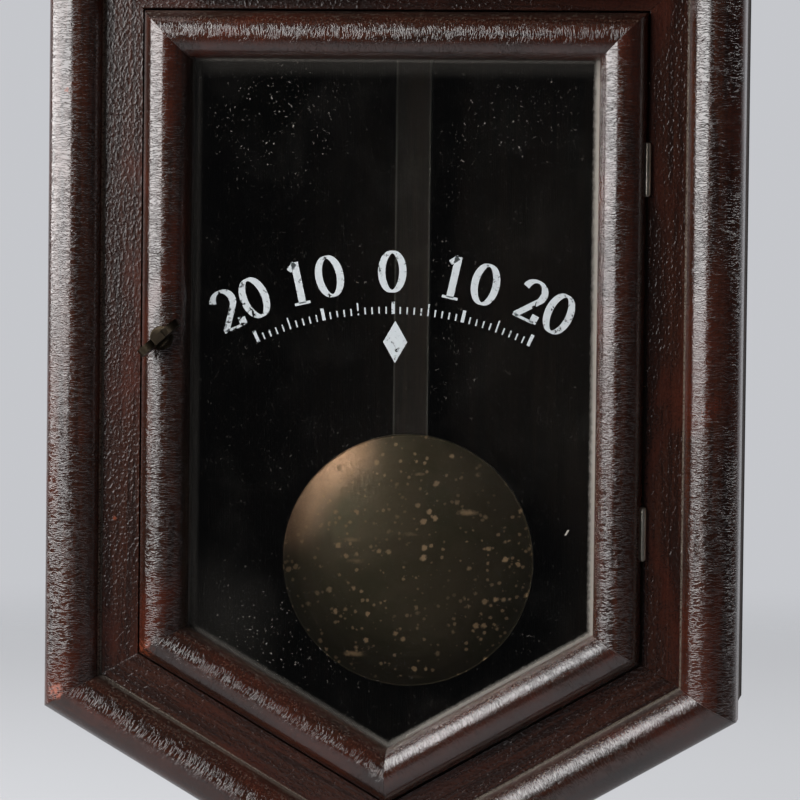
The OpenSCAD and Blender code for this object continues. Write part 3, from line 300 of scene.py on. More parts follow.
def lay_sloped(p):
    """Along and across a lower rail, which rises from the middle to the left and right."""
    side = p.x.abs()
    along = side * math.cos(SLOPE) + p.z * math.sin(SLOPE)
    across = p.z * math.cos(SLOPE) - side * math.sin(SLOPE)
    return along + p.calc("SIGN", p.x) * 977.0, across


def lay_round(p):
    """Along and across each of the eight members round the dial."""
    up = p.z - DIAL_Z
    eighth = math.pi / 4
    turn = p.calc("MULTIPLY", p.calc("ROUND", p.calc("DIVIDE", p.calc("ARCTAN2", up, p.x), eighth)), eighth)
    cosine, sine = p.calc("COSINE", turn), p.calc("SINE", turn)
    along = up * cosine - p.x * sine
    across = p.x * cosine + up * sine
    return along + turn * 613.0, across


LAYS = {"upright": lay_upright, "level": lay_level, "sloped": lay_sloped, "round": lay_round}

BLACK_BROWN = (0.0065, 0.0028, 0.0020)
DEEP_BROWN = (0.018, 0.0062, 0.0038)
WARM_BROWN = (0.045, 0.0140, 0.0075)
RED_BROWN = (0.095, 0.0190, 0.0095)
RAW_WOOD = (0.27, 0.045, 0.007)
BARE_BACK = (0.060, 0.034, 0.021)
EDGE_SHEEN = (0.055, 0.050, 0.045)
PALE_DUST = (0.30, 0.26, 0.21)
VARNISH_RELIEF = 0.12
# Places where the varnish is rubbed or chipped off: across, height, radius and how far it is gone
WORN_SPOTS = ((-142.0, -701.0, 3.2, 0.95), (-139.0, -444.0, 1.3, 0.8), (-104.0, -682.0, 4.0, 0.40),
              (-119.2, -626.8, 0.9, 0.9))


def joint_line(p, lay):
    """1 along the line where the flat front meets its outer moulding, where old dust and polish gather, and
    where a painted highlight stands for the light on the flat's edge.
    """
    if lay == "upright":
        off = p.x.abs() - STRIP_HALF
    elif lay == "sloped":
        off = LAYS[lay](p)[1] - (STRIP_CORNER * math.cos(SLOPE) - STRIP_HALF * math.sin(SLOPE))
    else:
        return None
    return off.abs().step(0.75, 0.30)


def varnished(name, lay, rounded):
    """Old dark varnish over red-brown wood. On a rounded member it has shrunk into fine wrinkles across the
    length, and on a flat one into a grain of small scales."""
    p = Paint(name, IOR=1.52, Specular_IOR_Level=0.95 if rounded else 0.42)
    along, across = LAYS[lay](p)
    grain = p.noise(p.vector(along * 0.012, across * 0.30, p.y * 0.30), detail=4, rough=0.62, twist=0.6)
    pores = p.noise(p.vector(along * 0.10, across * 2.6, p.y * 2.6), detail=2)
    cloud = p.noise(p.vector(along * 0.015, across * 0.035, p.y * 0.02), detail=3, twist=0.8)
    if rounded:
        lean = along + p.noise(p.place, scale=0.22, detail=1) * 2.4
        wide = p.noise(p.vector(lean * 1.05, across * 0.17, p.y * 0.17), detail=2, rough=0.55, twist=0.35)
        fine = p.noise(p.vector(lean * 2.3, across * 0.45, p.y * 0.45), detail=2, rough=0.6, twist=0.3)
        ridge = (wide - 0.5).abs().step(0.0, 0.07)
        height = ridge * 0.62 + wide * 0.8 + fine * 0.35
    else:
        wide = p.noise(p.vector(along * 0.52, across * 0.75, p.y * 0.75), detail=1, rough=0.5, twist=0.3)
        fine = p.noise(p.vector(along * 1.5, across * 2.2, p.y * 2.2), detail=2, rough=0.6)
        ridge = (wide - 0.5).abs().step(0.0, 0.08)
        height = wide.step(0.42, 0.78) + fine * 0.12
    calm = cloud.step(0.66, 0.42)
    height = height * (0.40 + calm * 0.60)
    colour = p.mix(grain.step(0.36, 0.66), DEEP_BROWN, WARM_BROWN)
    colour = p.mix(cloud.step(0.46, 0.74) * 0.5, colour, RED_BROWN)
    colour = p.mix(pores.step(0.58, 0.74) * 0.40, colour, BLACK_BROWN)
    colour = p.mix((1.0 - ridge) * 0.45, colour, BLACK_BROWN)
    line = joint_line(p, lay)
    if line:
        # A pale line along the joint: dust and polish, and also a painted highlight on the flat's edge.
        colour = p.mix(line * fine.step(0.3, 0.6) * 0.6, colour, PALE_DUST)
    ragged = p.noise(p.place, scale=0.55, detail=4, rough=0.65).step(0.40, 0.58)
    worn = most_of(p.spot(x, z, radius) * ragged * share for x, z, radius, share in WORN_SPOTS)
    colour = p.mix(worn, colour, RAW_WOOD)
    dusty = p.noise(p.place, scale=0.9, detail=3).step(0.50, 0.72)
    colour = p.mix(p.upward() * dusty * 0.40, colour, PALE_DUST)
    p.set("Base Color", colour)
    shine = 0.10 if rounded else 0.19
    p.set("Roughness", shine + fine * 0.08 + dusty * 0.03 + p.upward() * 0.2 + worn * 0.5)
    p.bump(height, VARNISH_RELIEF)
    return p


def boxed(name, lay, tone=1.0, centre_z=None, gloss=0.12):
    """Thin dark stain on the boards of the box, dull and dusty. A lower tone is darker. With a centre, the
    faces that look towards it, inside the case, are painted much darker as painted shade, and have less dust."""
    p = Paint(name, Specular_IOR_Level=gloss)
    along, across = LAYS[lay](p)
    grain = p.noise(p.vector(along * 0.010, across * 0.22, p.y * 0.22), detail=5, rough=0.65, twist=0.9)
    pores = p.noise(p.vector(along * 0.07, across * 2.2, p.y * 2.2), detail=3)
    dust = p.noise(p.place, scale=0.05, detail=4, rough=0.6)
    light, mid, dark, dust_tone = (tuple(c * tone for c in colour) for colour in (
        (0.032, 0.017, 0.011), (0.010, 0.006, 0.0045), (0.007, 0.0045, 0.0035), (0.13, 0.115, 0.10)))
    dusty = dust.step(0.52, 0.78) * 0.16 + p.upward() * 0.30
    if centre_z is not None:
        inside = p.inward(centre_z)
        dusty = dusty * (1.0 - inside * 0.85)
    colour = p.mix(grain.step(0.33, 0.68), mid, light)
    colour = p.mix(pores.step(0.56, 0.72) * 0.5, colour, dark)
    colour = p.mix(dusty, colour, dust_tone)
    if centre_z is not None:
        # Painted shade: the faces inside the case are painted nearly black.
        colour = p.mix(inside * 0.80, colour, (0.0022, 0.0018, 0.0016))
    p.set("Base Color", colour)
    p.set("Roughness", 0.60 + pores * 0.2)
    p.bump(pores * 0.6 + grain * 0.4, 0.14)
    return p


def stain_and_shade_back():
    """The back board: painted nearly black inside the case, as painted shade, and plain brown on the side
    of the wall.
    """
    # Painted shade: the low tone makes the board's face inside the case nearly black.
    p = boxed("stain_and_shade_back", "upright", tone=0.22, gloss=0.05)
    p.set("Base Color", p.mix(p.outward(), p.colour_of("Base Color"), BARE_BACK))
    return p


def stained_rod():
    """The pendulum's rod, with both long edges painted lighter grey as a painted sheen."""
    p = boxed("stained_rod", "upright", tone=0.50, gloss=0.15)
    # Painted highlight: both long edges of the rod are painted lighter grey.
    edge = p.x.abs().step(ROD_HALF - 1.1, ROD_HALF - 0.4)
    p.set("Base Color", p.mix(edge * 0.8, p.colour_of("Base Color"), EDGE_SHEEN))
    return p


def brass(name, bright, dull, polish, spots=0.3, dents=0.05):
    """Brass with tarnish in clouds, dark specks and fine rubbing marks."""
    p = Paint(name, Metallic=1.0)
    cloud = p.noise(p.place, scale=0.055, detail=5, rough=0.62, twist=0.4)
    speck = p.noise(p.place, scale=0.85, detail=3, rough=0.65)
    rub = p.noise(p.vector(p.x * 0.35, p.y * 3.0, p.z * 3.4), detail=2)
    colour = p.mix(cloud.step(0.34, 0.68), bright, dull)
    colour = p.mix(speck.step(0.62, 0.72) * spots, colour, tuple(c * 0.22 for c in dull))
    p.set("Base Color", colour)
    p.set("Roughness", polish + cloud * 0.20 + speck.step(0.58, 0.75) * 0.2)
    p.bump(rub * 0.3 + speck * 0.7, dents)
    return p


def steel(name, colour, rust, rough):
    """Steel with a little bloom and rust in patches."""
    p = Paint(name, Metallic=1.0)
    cloud = p.noise(p.place, scale=0.12, detail=5, rough=0.65)
    pit = p.noise(p.place, scale=1.7, detail=3)
    tone = p.mix(cloud.step(0.52, 0.72) * 0.7, colour, rust)
    tone = p.mix(pit.step(0.62, 0.75) * 0.5, tone, tuple(c * 0.35 for c in rust))
    p.set("Base Color", tone)
    p.set("Roughness", rough + cloud * 0.25)
    p.bump(pit, 0.03)
    return p


def dots(p, pitch, radius, share, squash=1.0):
    """Soft uneven dots on the front, in a share of the cells of a pattern with a pitch in millimetres."""
    wobble = p.noise(p.place, scale=0.7, detail=2) * (radius * 1.6)
    near = p.cells(p.vector(p.x * squash + wobble, 0.0, p.z + wobble * 0.6), scale=1 / pitch)
    split = p.node("SeparateColor")
    p.feed(split.inputs[0], p.cell_colour)
    chance, size = (Field(p, split.outputs[k]) for k in (0, 1))
    reach = (size * 0.7 + 0.3) * (radius / pitch)
    return (reach - near).step(-0.09, 0.11) * chance.step(share + 0.01, share - 0.01)


def bob_brass(name):
    """The bob's dark lacquered brass, with a painted highlight of lighter orange brass along its upper left
    rim, tan dots where the lacquer has lifted, and a few level scratches."""
    p = Paint(name)
    cloud = p.noise(p.place, scale=0.030, detail=4, rough=0.6, twist=0.5)
    crowd = p.noise(p.place, scale=0.030, detail=2).step(0.30, 0.58)
    flecks = (dots(p, 4.4, 1.30, 0.62) * 0.85).most(dots(p, 2.7, 0.80, 0.68) * 0.6)
    flecks = (flecks * (0.30 + crowd * 0.70)).most(dots(p, 8.0, 1.15, 0.36, 0.28) * 0.8)
    grime = p.noise(p.place, scale=0.9, detail=4, rough=0.7)
    up = p.z - BOB_Z
    out = p.distance(0.0, BOB_Z)
    # Painted highlight: the upper left rim is painted lighter, where the window's reflection falls on the
    # brass.
    upper_left = (up * 0.62 - p.x * 0.78 - out * 0.80).step(-3.0, 9.0)
    rim_glow = out.step(BOB_RADIUS * 0.66, BOB_RADIUS * 0.97) * upper_left * (0.45 + grime * 0.9)
    colour = p.mix(cloud.step(0.36, 0.66), (0.047, 0.033, 0.020), (0.034, 0.026, 0.014))
    colour = p.mix(grime.step(0.55, 0.75) * 0.35, colour, (0.020, 0.015, 0.009))
    colour = p.mix(rim_glow, colour, (0.25, 0.140, 0.086))
    colour = p.mix(flecks * 0.85, colour, (0.27, 0.155, 0.078))
    p.set("Base Color", colour)
    p.set("Metallic", 0.85 - flecks * 0.75)
    p.set("Roughness", 0.33 + cloud * 0.08 + grime * 0.08 + flecks * 0.25 - rim_glow * 0.06)
    p.bump(grime * 0.4 + flecks * 0.6, 0.02)
    return p


def dial_paint(name):
    """Cream paint on sheet metal, yellowed, stained towards the rim and finely cracked."""
    p = Paint(name, Specular_IOR_Level=0.45)
    out = p.distance(0.0, DIAL_Z)
    stain = p.noise(p.place, scale=0.022, detail=5, rough=0.62, twist=0.7)
    fine = p.noise(p.place, scale=0.5, detail=3)
    crack = p.cells(p.place, scale=0.16, feature="DISTANCE_TO_EDGE").step(0.030, 0.0)
    colour = p.mix(stain.step(0.36, 0.72), (0.66, 0.58, 0.42), (0.48, 0.385, 0.235))
    colour = p.mix(out.step(112.0, 156.0) * (0.35 + stain * 0.5), colour, (0.26, 0.175, 0.085))
    colour = p.mix(crack * stain.step(0.45, 0.62) * 0.55, colour, (0.16, 0.105, 0.055))
    colour = p.mix(fine.step(0.66, 0.76) * 0.5, colour, (0.20, 0.13, 0.07))
    p.set("Base Color", colour)
    p.set("Roughness", 0.42 + fine * 0.2)
    p.bump(fine * 0.5 + crack * -0.6, 0.05)
    return p


def flat_paint(name, colour, worn, share):
    """Thin paint with worn patches of another colour."""
    p = Paint(name, Specular_IOR_Level=0.4)
    rub = p.noise(p.place, scale=0.33, detail=5, rough=0.7)
    p.set("Base Color", p.mix(rub.step(0.70 - share, 0.76 - share) * 0.8, colour, worn))
    p.set("Roughness", 0.5 + rub * 0.2)
    p.bump(rub, 0.03)
    return p


def old_glass(name, tint):
    """Clear glass. Rays from lamps pass straight through it."""
    p = Paint(name, Transmission_Weight=1.0, IOR=1.46, Specular_IOR_Level=0.08, Roughness=0.0)
    smear = p.noise(p.place, scale=0.02, detail=3, twist=0.5)
    p.set("Base Color", p.mix(smear, tint, tuple(c * 0.97 for c in tint)))
    path = p.node("LightPath")
    clear = p.node("BsdfTransparent")
    clear.inputs[0].default_value = (0.90, 0.92, 0.90, 1)
    both = p.node("MixShader")
    p.feed(both.inputs[0], path.outputs["Is Shadow Ray"])
    p.feed(both.inputs[1], p.surface.outputs[0])
    p.feed(both.inputs[2], clear.outputs[0])
    p.feed(p.tree.nodes["Material Output"].inputs["Surface"], both.outputs[0])
    return p


# Places on the glass, across and in height: crowded specks with their radius and share, haze, and one fleck
SPECKLED_SPOTS = ((-52.0, -452.0, 24.0, 1.0), (-66.0, -690.0, 26.0, 1.3), (52.0, -455.0, 14.0, 1.0))
HAZE_AT = (-78.0, -672.0)
FLECK_AT = (75.6, -629.6)


def glass_dust(name):
    """A pale film on the door's glass: pale bands along the edges, heaviest at the right and the lower right,
    thin dust over the rest, with a few specks and a fleck.
    """
    p = Paint(name, Roughness=0.85, Specular_IOR_Level=0.1)
    cosine, sine = math.cos(SLOPE), math.sin(SLOPE)
    right, left, top = SIGHT_HALF - p.x, SIGHT_HALF + p.x, SIGHT_TOP - p.z
    low = p.z * cosine - p.x.abs() * sine - (SIGHT_CORNER * cosine - SIGHT_HALF * sine)
    right_half = p.x.step(-20.0, 20.0)
    cloud = p.noise(p.place, scale=0.035, detail=5, rough=0.62, twist=0.4)
    ragged = p.noise(p.place, scale=0.5, detail=3, rough=0.6)
    band = ragged * 1.6 + 1.0
    edges = most_of((
        # A heavy pale band along the right edge, and the lower edge paler on the right half than on the left.
        (right - band).step(1.6, -0.9) * 0.62,
        (left - band * 0.5).step(4.0, -0.6) * 0.16,
        (top - band * 0.4).step(1.2, -0.4) * 0.22,
        top.step(9.0, 0.0) * 0.05,
        (low - band * 0.8).step(1.4, -0.8) * (0.12 + right_half * 0.36)))
    haze = cloud.step(0.45, 0.80) * 0.007 + p.spot(*HAZE_AT, 22.0, 0.8) * 0.02
    speck = p.noise(p.place, scale=0.95, detail=2, rough=0.6)
    crowd = p.noise(p.place, scale=0.03, detail=2)
    near = most_of(p.spot(x, z, radius, 0.9) * share for x, z, radius, share in SPECKLED_SPOTS)
    specks = speck.step(0.680, 0.725) * (crowd.step(0.5, 0.7) * 0.35 + near * 0.75 + 0.12)
    fleck_x, fleck_z = p.x - FLECK_AT[0], p.z - FLECK_AT[1]
    fleck = (fleck_x - fleck_z * 0.55).abs().step(0.55, 0.25) * fleck_z.abs().step(1.4, 0.9)
    p.set("Alpha", (edges + haze + specks * 0.55).most(fleck * 0.9))
    p.set("Base Color", p.mix(cloud, (0.50, 0.46, 0.40), (0.60, 0.56, 0.50)))
    return p


def worn_white(name):
    """White paint on the glass, flaked off in small patches."""
    p = Paint(name, Roughness=0.6, Specular_IOR_Level=0.3)
    flake = p.noise(p.place, scale=0.42, detail=5, rough=0.72, twist=0.5)
    scratch = p.noise(p.vector(p.x * 0.5, p.y, p.z * 0.16 + p.x * 0.1), detail=3, rough=0.6)
    gone = p.noise(p.place, scale=0.018, detail=2).step(0.40, 0.66) + p.x.step(20.0, 90.0) * 0.35
    limit = 0.625 - gone * 0.11
    kept = (limit - flake).step(-0.012, 0.012) * (0.72 - scratch).step(-0.02, 0.02)
    p.set("Alpha", kept * 0.96)
    p.set("Base Color", p.mix(flake, (0.72, 0.76, 0.78), (0.50, 0.54, 0.56)))
    return p


def finish_nodes():
    """Gives every node of the frame its material."""
    round_names = {"upright": ("door_stile_left", "door_stile_right", "edge_mouldings_side"),
                   "level": ("door_rail_top",), "sloped": ("door_rails_lower", "edge_mouldings_lower"),
                   "round": ("head_moulding",)}
    flat_names = {"upright": ("front_stile_left", "front_stile_right"), "level": ("front_rail_top",),
                  "sloped": ("front_rails_lower",), "round": ("head_frame",)}
    box_names = {"upright": (("case_sides", "door_glass_beads"), CASE_MIDDLE_Z),
                 "level": (("case_head_boards",), DIAL_Z), "sloped": (("case_bottom_boards",), CASE_MIDDLE_Z)}
    for lay, names in round_names.items():
        wear(varnished("varnish_round_" + lay, lay, True), names)
    for lay, names in flat_names.items():
        wear(varnished("varnish_flat_" + lay, lay, False), names)
    for lay, (names, centre_z) in box_names.items():
        wear(boxed("stain_and_shade_box_" + lay, lay, centre_z=centre_z), names)
    wear(stain_and_shade_back(), ("back_board",))
    wear(stained_rod(), ("pendulum_rod",))
    wear(brass("brass_aged", (0.34, 0.235, 0.105), (0.115, 0.078, 0.040), 0.30, 0.6), (
        "hanger_plate", "turn_keeper", "turn_tongue", "brass_screws", "bezel_hinge_bracket", "bezel_catch",
        "rod_cap", "rating_nut", "rating_stem"))
    wear(brass("brass_bezel", (0.62, 0.41, 0.15), (0.33, 0.205, 0.080), 0.20, 0.4), (
        "bezel_ring", "hand_nut"))
    wear(brass("brass_movement", (0.62, 0.43, 0.17), (0.36, 0.235, 0.095), 0.26, 0.3), (
        "back_plate", "front_plate", "plate_pillars", "movement_posts", "pillar_nuts", "great_wheel",
        "centre_wheel", "minute_wheel", "hour_wheel", "third_wheel", "escape_wheel", "verge_cock"))
    wear(bob_brass("brass_bob"), ("pendulum_bob",))
    wear(brass("bronze_turn", (0.11, 0.085, 0.055), (0.022, 0.017, 0.012), 0.28, 0.5), (
        "turn_thumb_piece", "turn_collar"))
    wear(steel("steel_blue", (0.020, 0.022, 0.030), (0.045, 0.024, 0.014), 0.30), (
        "hour_hand", "minute_hand"))
    # The hinges' brass is lighter than the other brass: a painted highlight for the window's reflection on
    # the knuckles.
    wear(brass("hinge_bright", (0.82, 0.76, 0.66), (0.42, 0.37, 0.30), 0.22, 0.3, 0.02), (
        "door_hinge_leaves", "case_hinge_leaves", "hinge_pins"))
    wear(steel("steel_bright", (0.46, 0.45, 0.43), (0.20, 0.12, 0.07), 0.26), (
        "winding_arbor", "click", "centre_arbor", "cannon_pinion", "verge", "hanger_screws"))
    wear(steel("steel_spring", (0.16, 0.17, 0.20), (0.12, 0.075, 0.045), 0.28), (
        "mainspring", "suspension_spring"))
    wear(dial_paint("dial_cream"), ("dial_pan",))
    wear(old_glass("glass_door", (0.90, 0.93, 0.90)), ("door_glass",))
    wear(old_glass("glass_bezel", (0.93, 0.95, 0.92)), ("bezel_glass",))


def wear(paint, names):
    """Puts a material on nodes."""
    for name in names:
        for slot in nodes[name].material_slots:
            slot.link = "OBJECT"
            slot.material = paint.material


# Soft edges, and pieces that only the looks need


WOOD_NODES = ("door_stile_left", "door_stile_right", "door_rail_top", "door_rails_lower", "front_stile_left",
              "front_stile_right", "front_rail_top", "front_rails_lower", "edge_mouldings_side",
              "edge_mouldings_lower", "head_frame", "head_moulding", "case_sides", "case_head_boards",
              "case_bottom_boards", "back_board")


EDGE_ROUNDING = 0.35 * MM
SAME_PLACE = 0.01 * MM
SHARP_ANGLE = math.radians(32)


def soften_edges():
    """Rubs the sharp edges of the wood round."""
    for name in WOOD_NODES:
        node = nodes[name]
        weld = node.modifiers.new("weld", "WELD")
        weld.merge_threshold = SAME_PLACE
        bevel = node.modifiers.new("bevel", "BEVEL")
        bevel.width = EDGE_ROUNDING
        bevel.segments = 2
        bevel.limit_method = "ANGLE"
        bevel.angle_limit = SHARP_ANGLE
        smooth = node.modifiers.new("normals", "WEIGHTED_NORMAL")
        smooth.keep_sharp = True


def add_mesh(name, body, material, build):
    """A mesh of the builder's own, made by build(bm) in the clock's frame, riding on a body."""
    bm = bmesh.new()
    build(bm)
    mesh = bpy.data.meshes.new(name)
    bm.to_mesh(mesh)
    bm.free()
    made = bpy.data.objects.new(name, mesh)
    scene.collection.objects.link(made)
    mesh.materials.append(material)
    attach(made, body)
    return made


def plate(bm, outline, depth, thick):
    """A flat plate with an outline of (x, z) in metres, its front face at a depth out from the wall."""
    front = [bm.verts.new((x, -depth, z)) for x, z in outline]
    back = [bm.verts.new((x, -depth + thick, z)) for x, z in outline]
    area = sum(a[0] * b[1] - b[0] * a[1] for a, b in zip(outline, outline[1:] + outline[:1]))
    if area < 0:
        front.reverse()
        back.reverse()
    bm.faces.new(front)
    bm.faces.new(back[::-1])
    for k in range(len(front)):
        bm.faces.new((front[k], front[k - 1], back[k - 1], back[k]))


def arc_plate(bm, middle, radii, start, end, depth, thick):
    """A plate between two radii and two clock angles about a middle."""
    inner, outer = radii
    plate(bm, [around(middle, inner, start), around(middle, outer, start), around(middle, outer, end),
               around(middle, inner, end)], depth, thick)


def strokes(sign):
    """The strokes of a Roman figure on a height of 1: lists of (x, y) corners, and the figure's width."""
    thick, thin, foot = 0.17, 0.055, 0.045
    parts, at = [], 0.0

    def bar(x0, x1, y0=0.0, y1=1.0, lean=0.0):
        parts.append([(x0, y0), (x1, y0), (x1 + lean, y1), (x0 + lean, y1)])

    for letter in sign:
        if letter == "I":
            bar(at + 0.06, at + 0.06 + thick)
            for y in (0.0, 1.0 - foot):
                bar(at, at + 0.12 + thick, y, y + foot)
            at += 0.12 + thick + 0.10
        elif letter == "V":
            bar(at + 0.36 - thick / 2, at + 0.36 + thick / 2, lean=-0.27)
            bar(at + 0.36 - thin / 2, at + 0.36 + thin / 2, lean=0.27)
            for x in (0.0, 0.50):
                bar(at + x, at + x + 0.24, 1.0 - foot, 1.0)
            at += 0.76 + 0.06
        else:
            bar(at + 0.52 - thick / 2, at + 0.52 + thick / 2, lean=-0.34)
            bar(at + 0.12, at + 0.12 + thin, lean=0.44)
            for x, y in ((0.0, 0.0), (0.42, 0.0), (0.04, 1.0 - foot), (0.46, 1.0 - foot)):
                bar(at + x, at + x + 0.24, y, y + foot)
            at += 0.72 + 0.06
    return parts, at - 0.06


def set_figure(bm, sign, middle, turn, height, depth, thick):
    """A figure on a plate's face, its middle at (x, z) and turned clockwise by turn."""
    parts, width = strokes(sign)
    cosine, sine = math.cos(turn), math.sin(turn)
    for k, part in enumerate(parts):
        outline = []
        for x, y in part:
            u, v = (x - width / 2) * height, (y - 0.5) * height
            outline.append((middle[0] + u * cosine + v * sine, middle[1] - u * sine + v * cosine))
        plate(bm, outline, depth + k * STROKE_LIFT, thick)


def around(middle, radius, turn):
    """The point at a radius from a middle, at a clock angle."""
    return middle[0] + radius * math.sin(turn), middle[1] + radius * math.cos(turn)


# The dial's figures and minute track. A stroke lies a hair above the one under it, so that they don't
# flicker.
INK_THICK = 0.00004
STROKE_LIFT = 0.0000002
TICK_LIFT = 0.000002
DIAL_SHEET = 0.0008
DIAL_INK = -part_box("dial_pan")[1].y + DIAL_SHEET + INK_THICK
DIAL_POINT = (0.0, DIAL_MIDDLE.z)
HOURS = ("XII", "I", "II", "III", "IIII", "V", "VI", "VII", "VIII", "IX", "X", "XI")
FIGURE_RADIUS = 0.111
FIGURE_HEIGHT = 0.027
TRACK_INNER = 0.1335
TRACK_OUTER = 0.1385
TRACK_LINE = 0.0004
HOUR_TICK_HALF = 0.0010
MINUTE_TICK_HALF = 0.0003
RING_STEPS = 180


def dial_figures(bm):
    """The twelve hours, each upright towards the rim."""
    for hour, sign in enumerate(HOURS):
        turn = hour * math.pi / 6
        place = around(DIAL_POINT, FIGURE_RADIUS, turn)
        set_figure(bm, sign, place, turn, FIGURE_HEIGHT, DIAL_INK, INK_THICK)


def dial_track(bm):
    """The minute track: two rings and a tick each minute, heavier each five."""
    step = 2 * math.pi / RING_STEPS
    for radii in ((TRACK_INNER - TRACK_LINE, TRACK_INNER), (TRACK_OUTER, TRACK_OUTER + TRACK_LINE)):
        for k in range(RING_STEPS):
            arc_plate(bm, DIAL_POINT, radii, step * k, step * (k + 1), DIAL_INK, INK_THICK)
    for minute in range(60):
        turn = minute * math.pi / 30
        lean = (HOUR_TICK_HALF if minute % 5 == 0 else MINUTE_TICK_HALF) / TRACK_INNER
        arc_plate(bm, DIAL_POINT, (TRACK_INNER, TRACK_OUTER), turn - lean, turn + lean,
                  DIAL_INK + TICK_LIFT, INK_THICK)


def digit_path(digit):
    """The middle line of a digit on a height of 1, as points."""
    def turn(cx, cy, rx, ry, start, end, steps=14):
        return [(cx + rx * math.cos(math.radians(start + (end - start) * k / steps)),
                 cy + ry * math.sin(math.radians(start + (end - start) * k / steps)))
                for k in range(steps + 1)]

    return {"0": [turn(0.32, 0.5, 0.24, 0.44, 0, 360, 32)],
            "1": [[(0.30, 0.03), (0.30, 0.97)], [(0.12, 0.03), (0.48, 0.03)], [(0.14, 0.80), (0.30, 0.95)]],
            "2": [turn(0.32, 0.70, 0.23, 0.25, 170, -35) + [(0.12, 0.06)], [(0.08, 0.06), (0.57, 0.06)],
                  [(0.56, 0.05), (0.57, 0.24)]]}[digit]


# A digit's thick and thin strokes and the step from one digit to the next, on a height of 1
DIGIT_THICK = 0.165
DIGIT_THIN = 0.06
DIGIT_PITCH = 0.70


def ribbon(bm, points, place, depth, thick):
    """A stroke along points, thick where it runs upright and thin where it runs level."""
    sides = []
    for k, (x, y) in enumerate(points):
        x0, y0 = points[max(k - 1, 0)]
        x1, y1 = points[min(k + 1, len(points) - 1)]
        length = math.hypot(x1 - x0, y1 - y0) or 1.0
        dx, dy = (x1 - x0) / length, (y1 - y0) / length
        half = (DIGIT_THIN + (DIGIT_THICK - DIGIT_THIN) * abs(dy) ** 1.5) / 2
        sides.append((place(x - dy * half, y + dx * half), place(x + dy * half, y - dx * half)))
    for (a, b), (c, d) in zip(sides, sides[1:]):
        plate(bm, [a, b, d, c], depth, thick)


# The scale on the glass: its arc, its figures and ticks, and the diamond under its middle
SCALE_MIDDLE = (0.0, -0.6745)
SCALE_RADIUS = 0.155
SCALE_FIGURE = 0.019
SCALE_TURN = math.radians(25)
SCALE_DEPTH = GLASS_FRONT + 0.00005
TICK_INNER = SCALE_RADIUS - SCALE_FIGURE / 2 - 0.0085
LONG_TICK = 0.0052
SHORT_TICK = 0.0030
HEAVY_TICK_HALF = 0.0007
LIGHT_TICK_HALF = 0.0003
DIAMOND_AT = (0.001, SCALE_MIDDLE[1] + 0.125)
DIAMOND_HALF = (0.0052, 0.0090)
DUST_DEPTH = GLASS_FRONT + 0.00020


def glass_scale(bm):
    """The figures of a plain scale from twenty to nought and back to twenty, on an arc."""
    for k in range(-2, 3):
        turn = SCALE_TURN * k / 2
        text = str(abs(k) * 10)
        width = DIGIT_PITCH * len(text)
        cosine, sine = math.cos(turn), math.sin(turn)
        middle = around(SCALE_MIDDLE, SCALE_RADIUS, turn)
        for n, digit in enumerate(text):
            def place(x, y, shift=n * DIGIT_PITCH - width / 2):
                u, v = (x + shift) * SCALE_FIGURE, (y - 0.5) * SCALE_FIGURE
                return middle[0] + u * cosine + v * sine, middle[1] - u * sine + v * cosine
            for path in digit_path(digit):
                ribbon(bm, path, place, SCALE_DEPTH, INK_THICK)


def glass_ticks(bm):
    """Ticks under the figures, and a small diamond under the middle."""
    for k in range(-20, 21):
        turn = SCALE_TURN * k / 20
        reach = LONG_TICK if k % 5 == 0 else SHORT_TICK
        lean = (HEAVY_TICK_HALF if k % 10 == 0 else LIGHT_TICK_HALF) / TICK_INNER
        arc_plate(bm, SCALE_MIDDLE, (TICK_INNER, TICK_INNER + reach), turn - lean, turn + lean, SCALE_DEPTH,
                  INK_THICK)
    x, z = DIAMOND_AT
    wide, high = DIAMOND_HALF
    plate(bm, [(x, z - high), (x - wide, z), (x, z + high), (x + wide, z)], SCALE_DEPTH, INK_THICK)


def dust_sheet(bm):
    """One face over the glass, a hair in front of it."""
    tip = SIGHT_CORNER - SIGHT_HALF * math.tan(SLOPE)
    corners = [(-SIGHT_HALF, SIGHT_TOP), (-SIGHT_HALF, SIGHT_CORNER), (0.0, tip), (SIGHT_HALF, SIGHT_CORNER),
               (SIGHT_HALF, SIGHT_TOP)]
    bm.faces.new([bm.verts.new((x * MM, -DUST_DEPTH, z * MM)) for x, z in corners])


# Light and surroundings


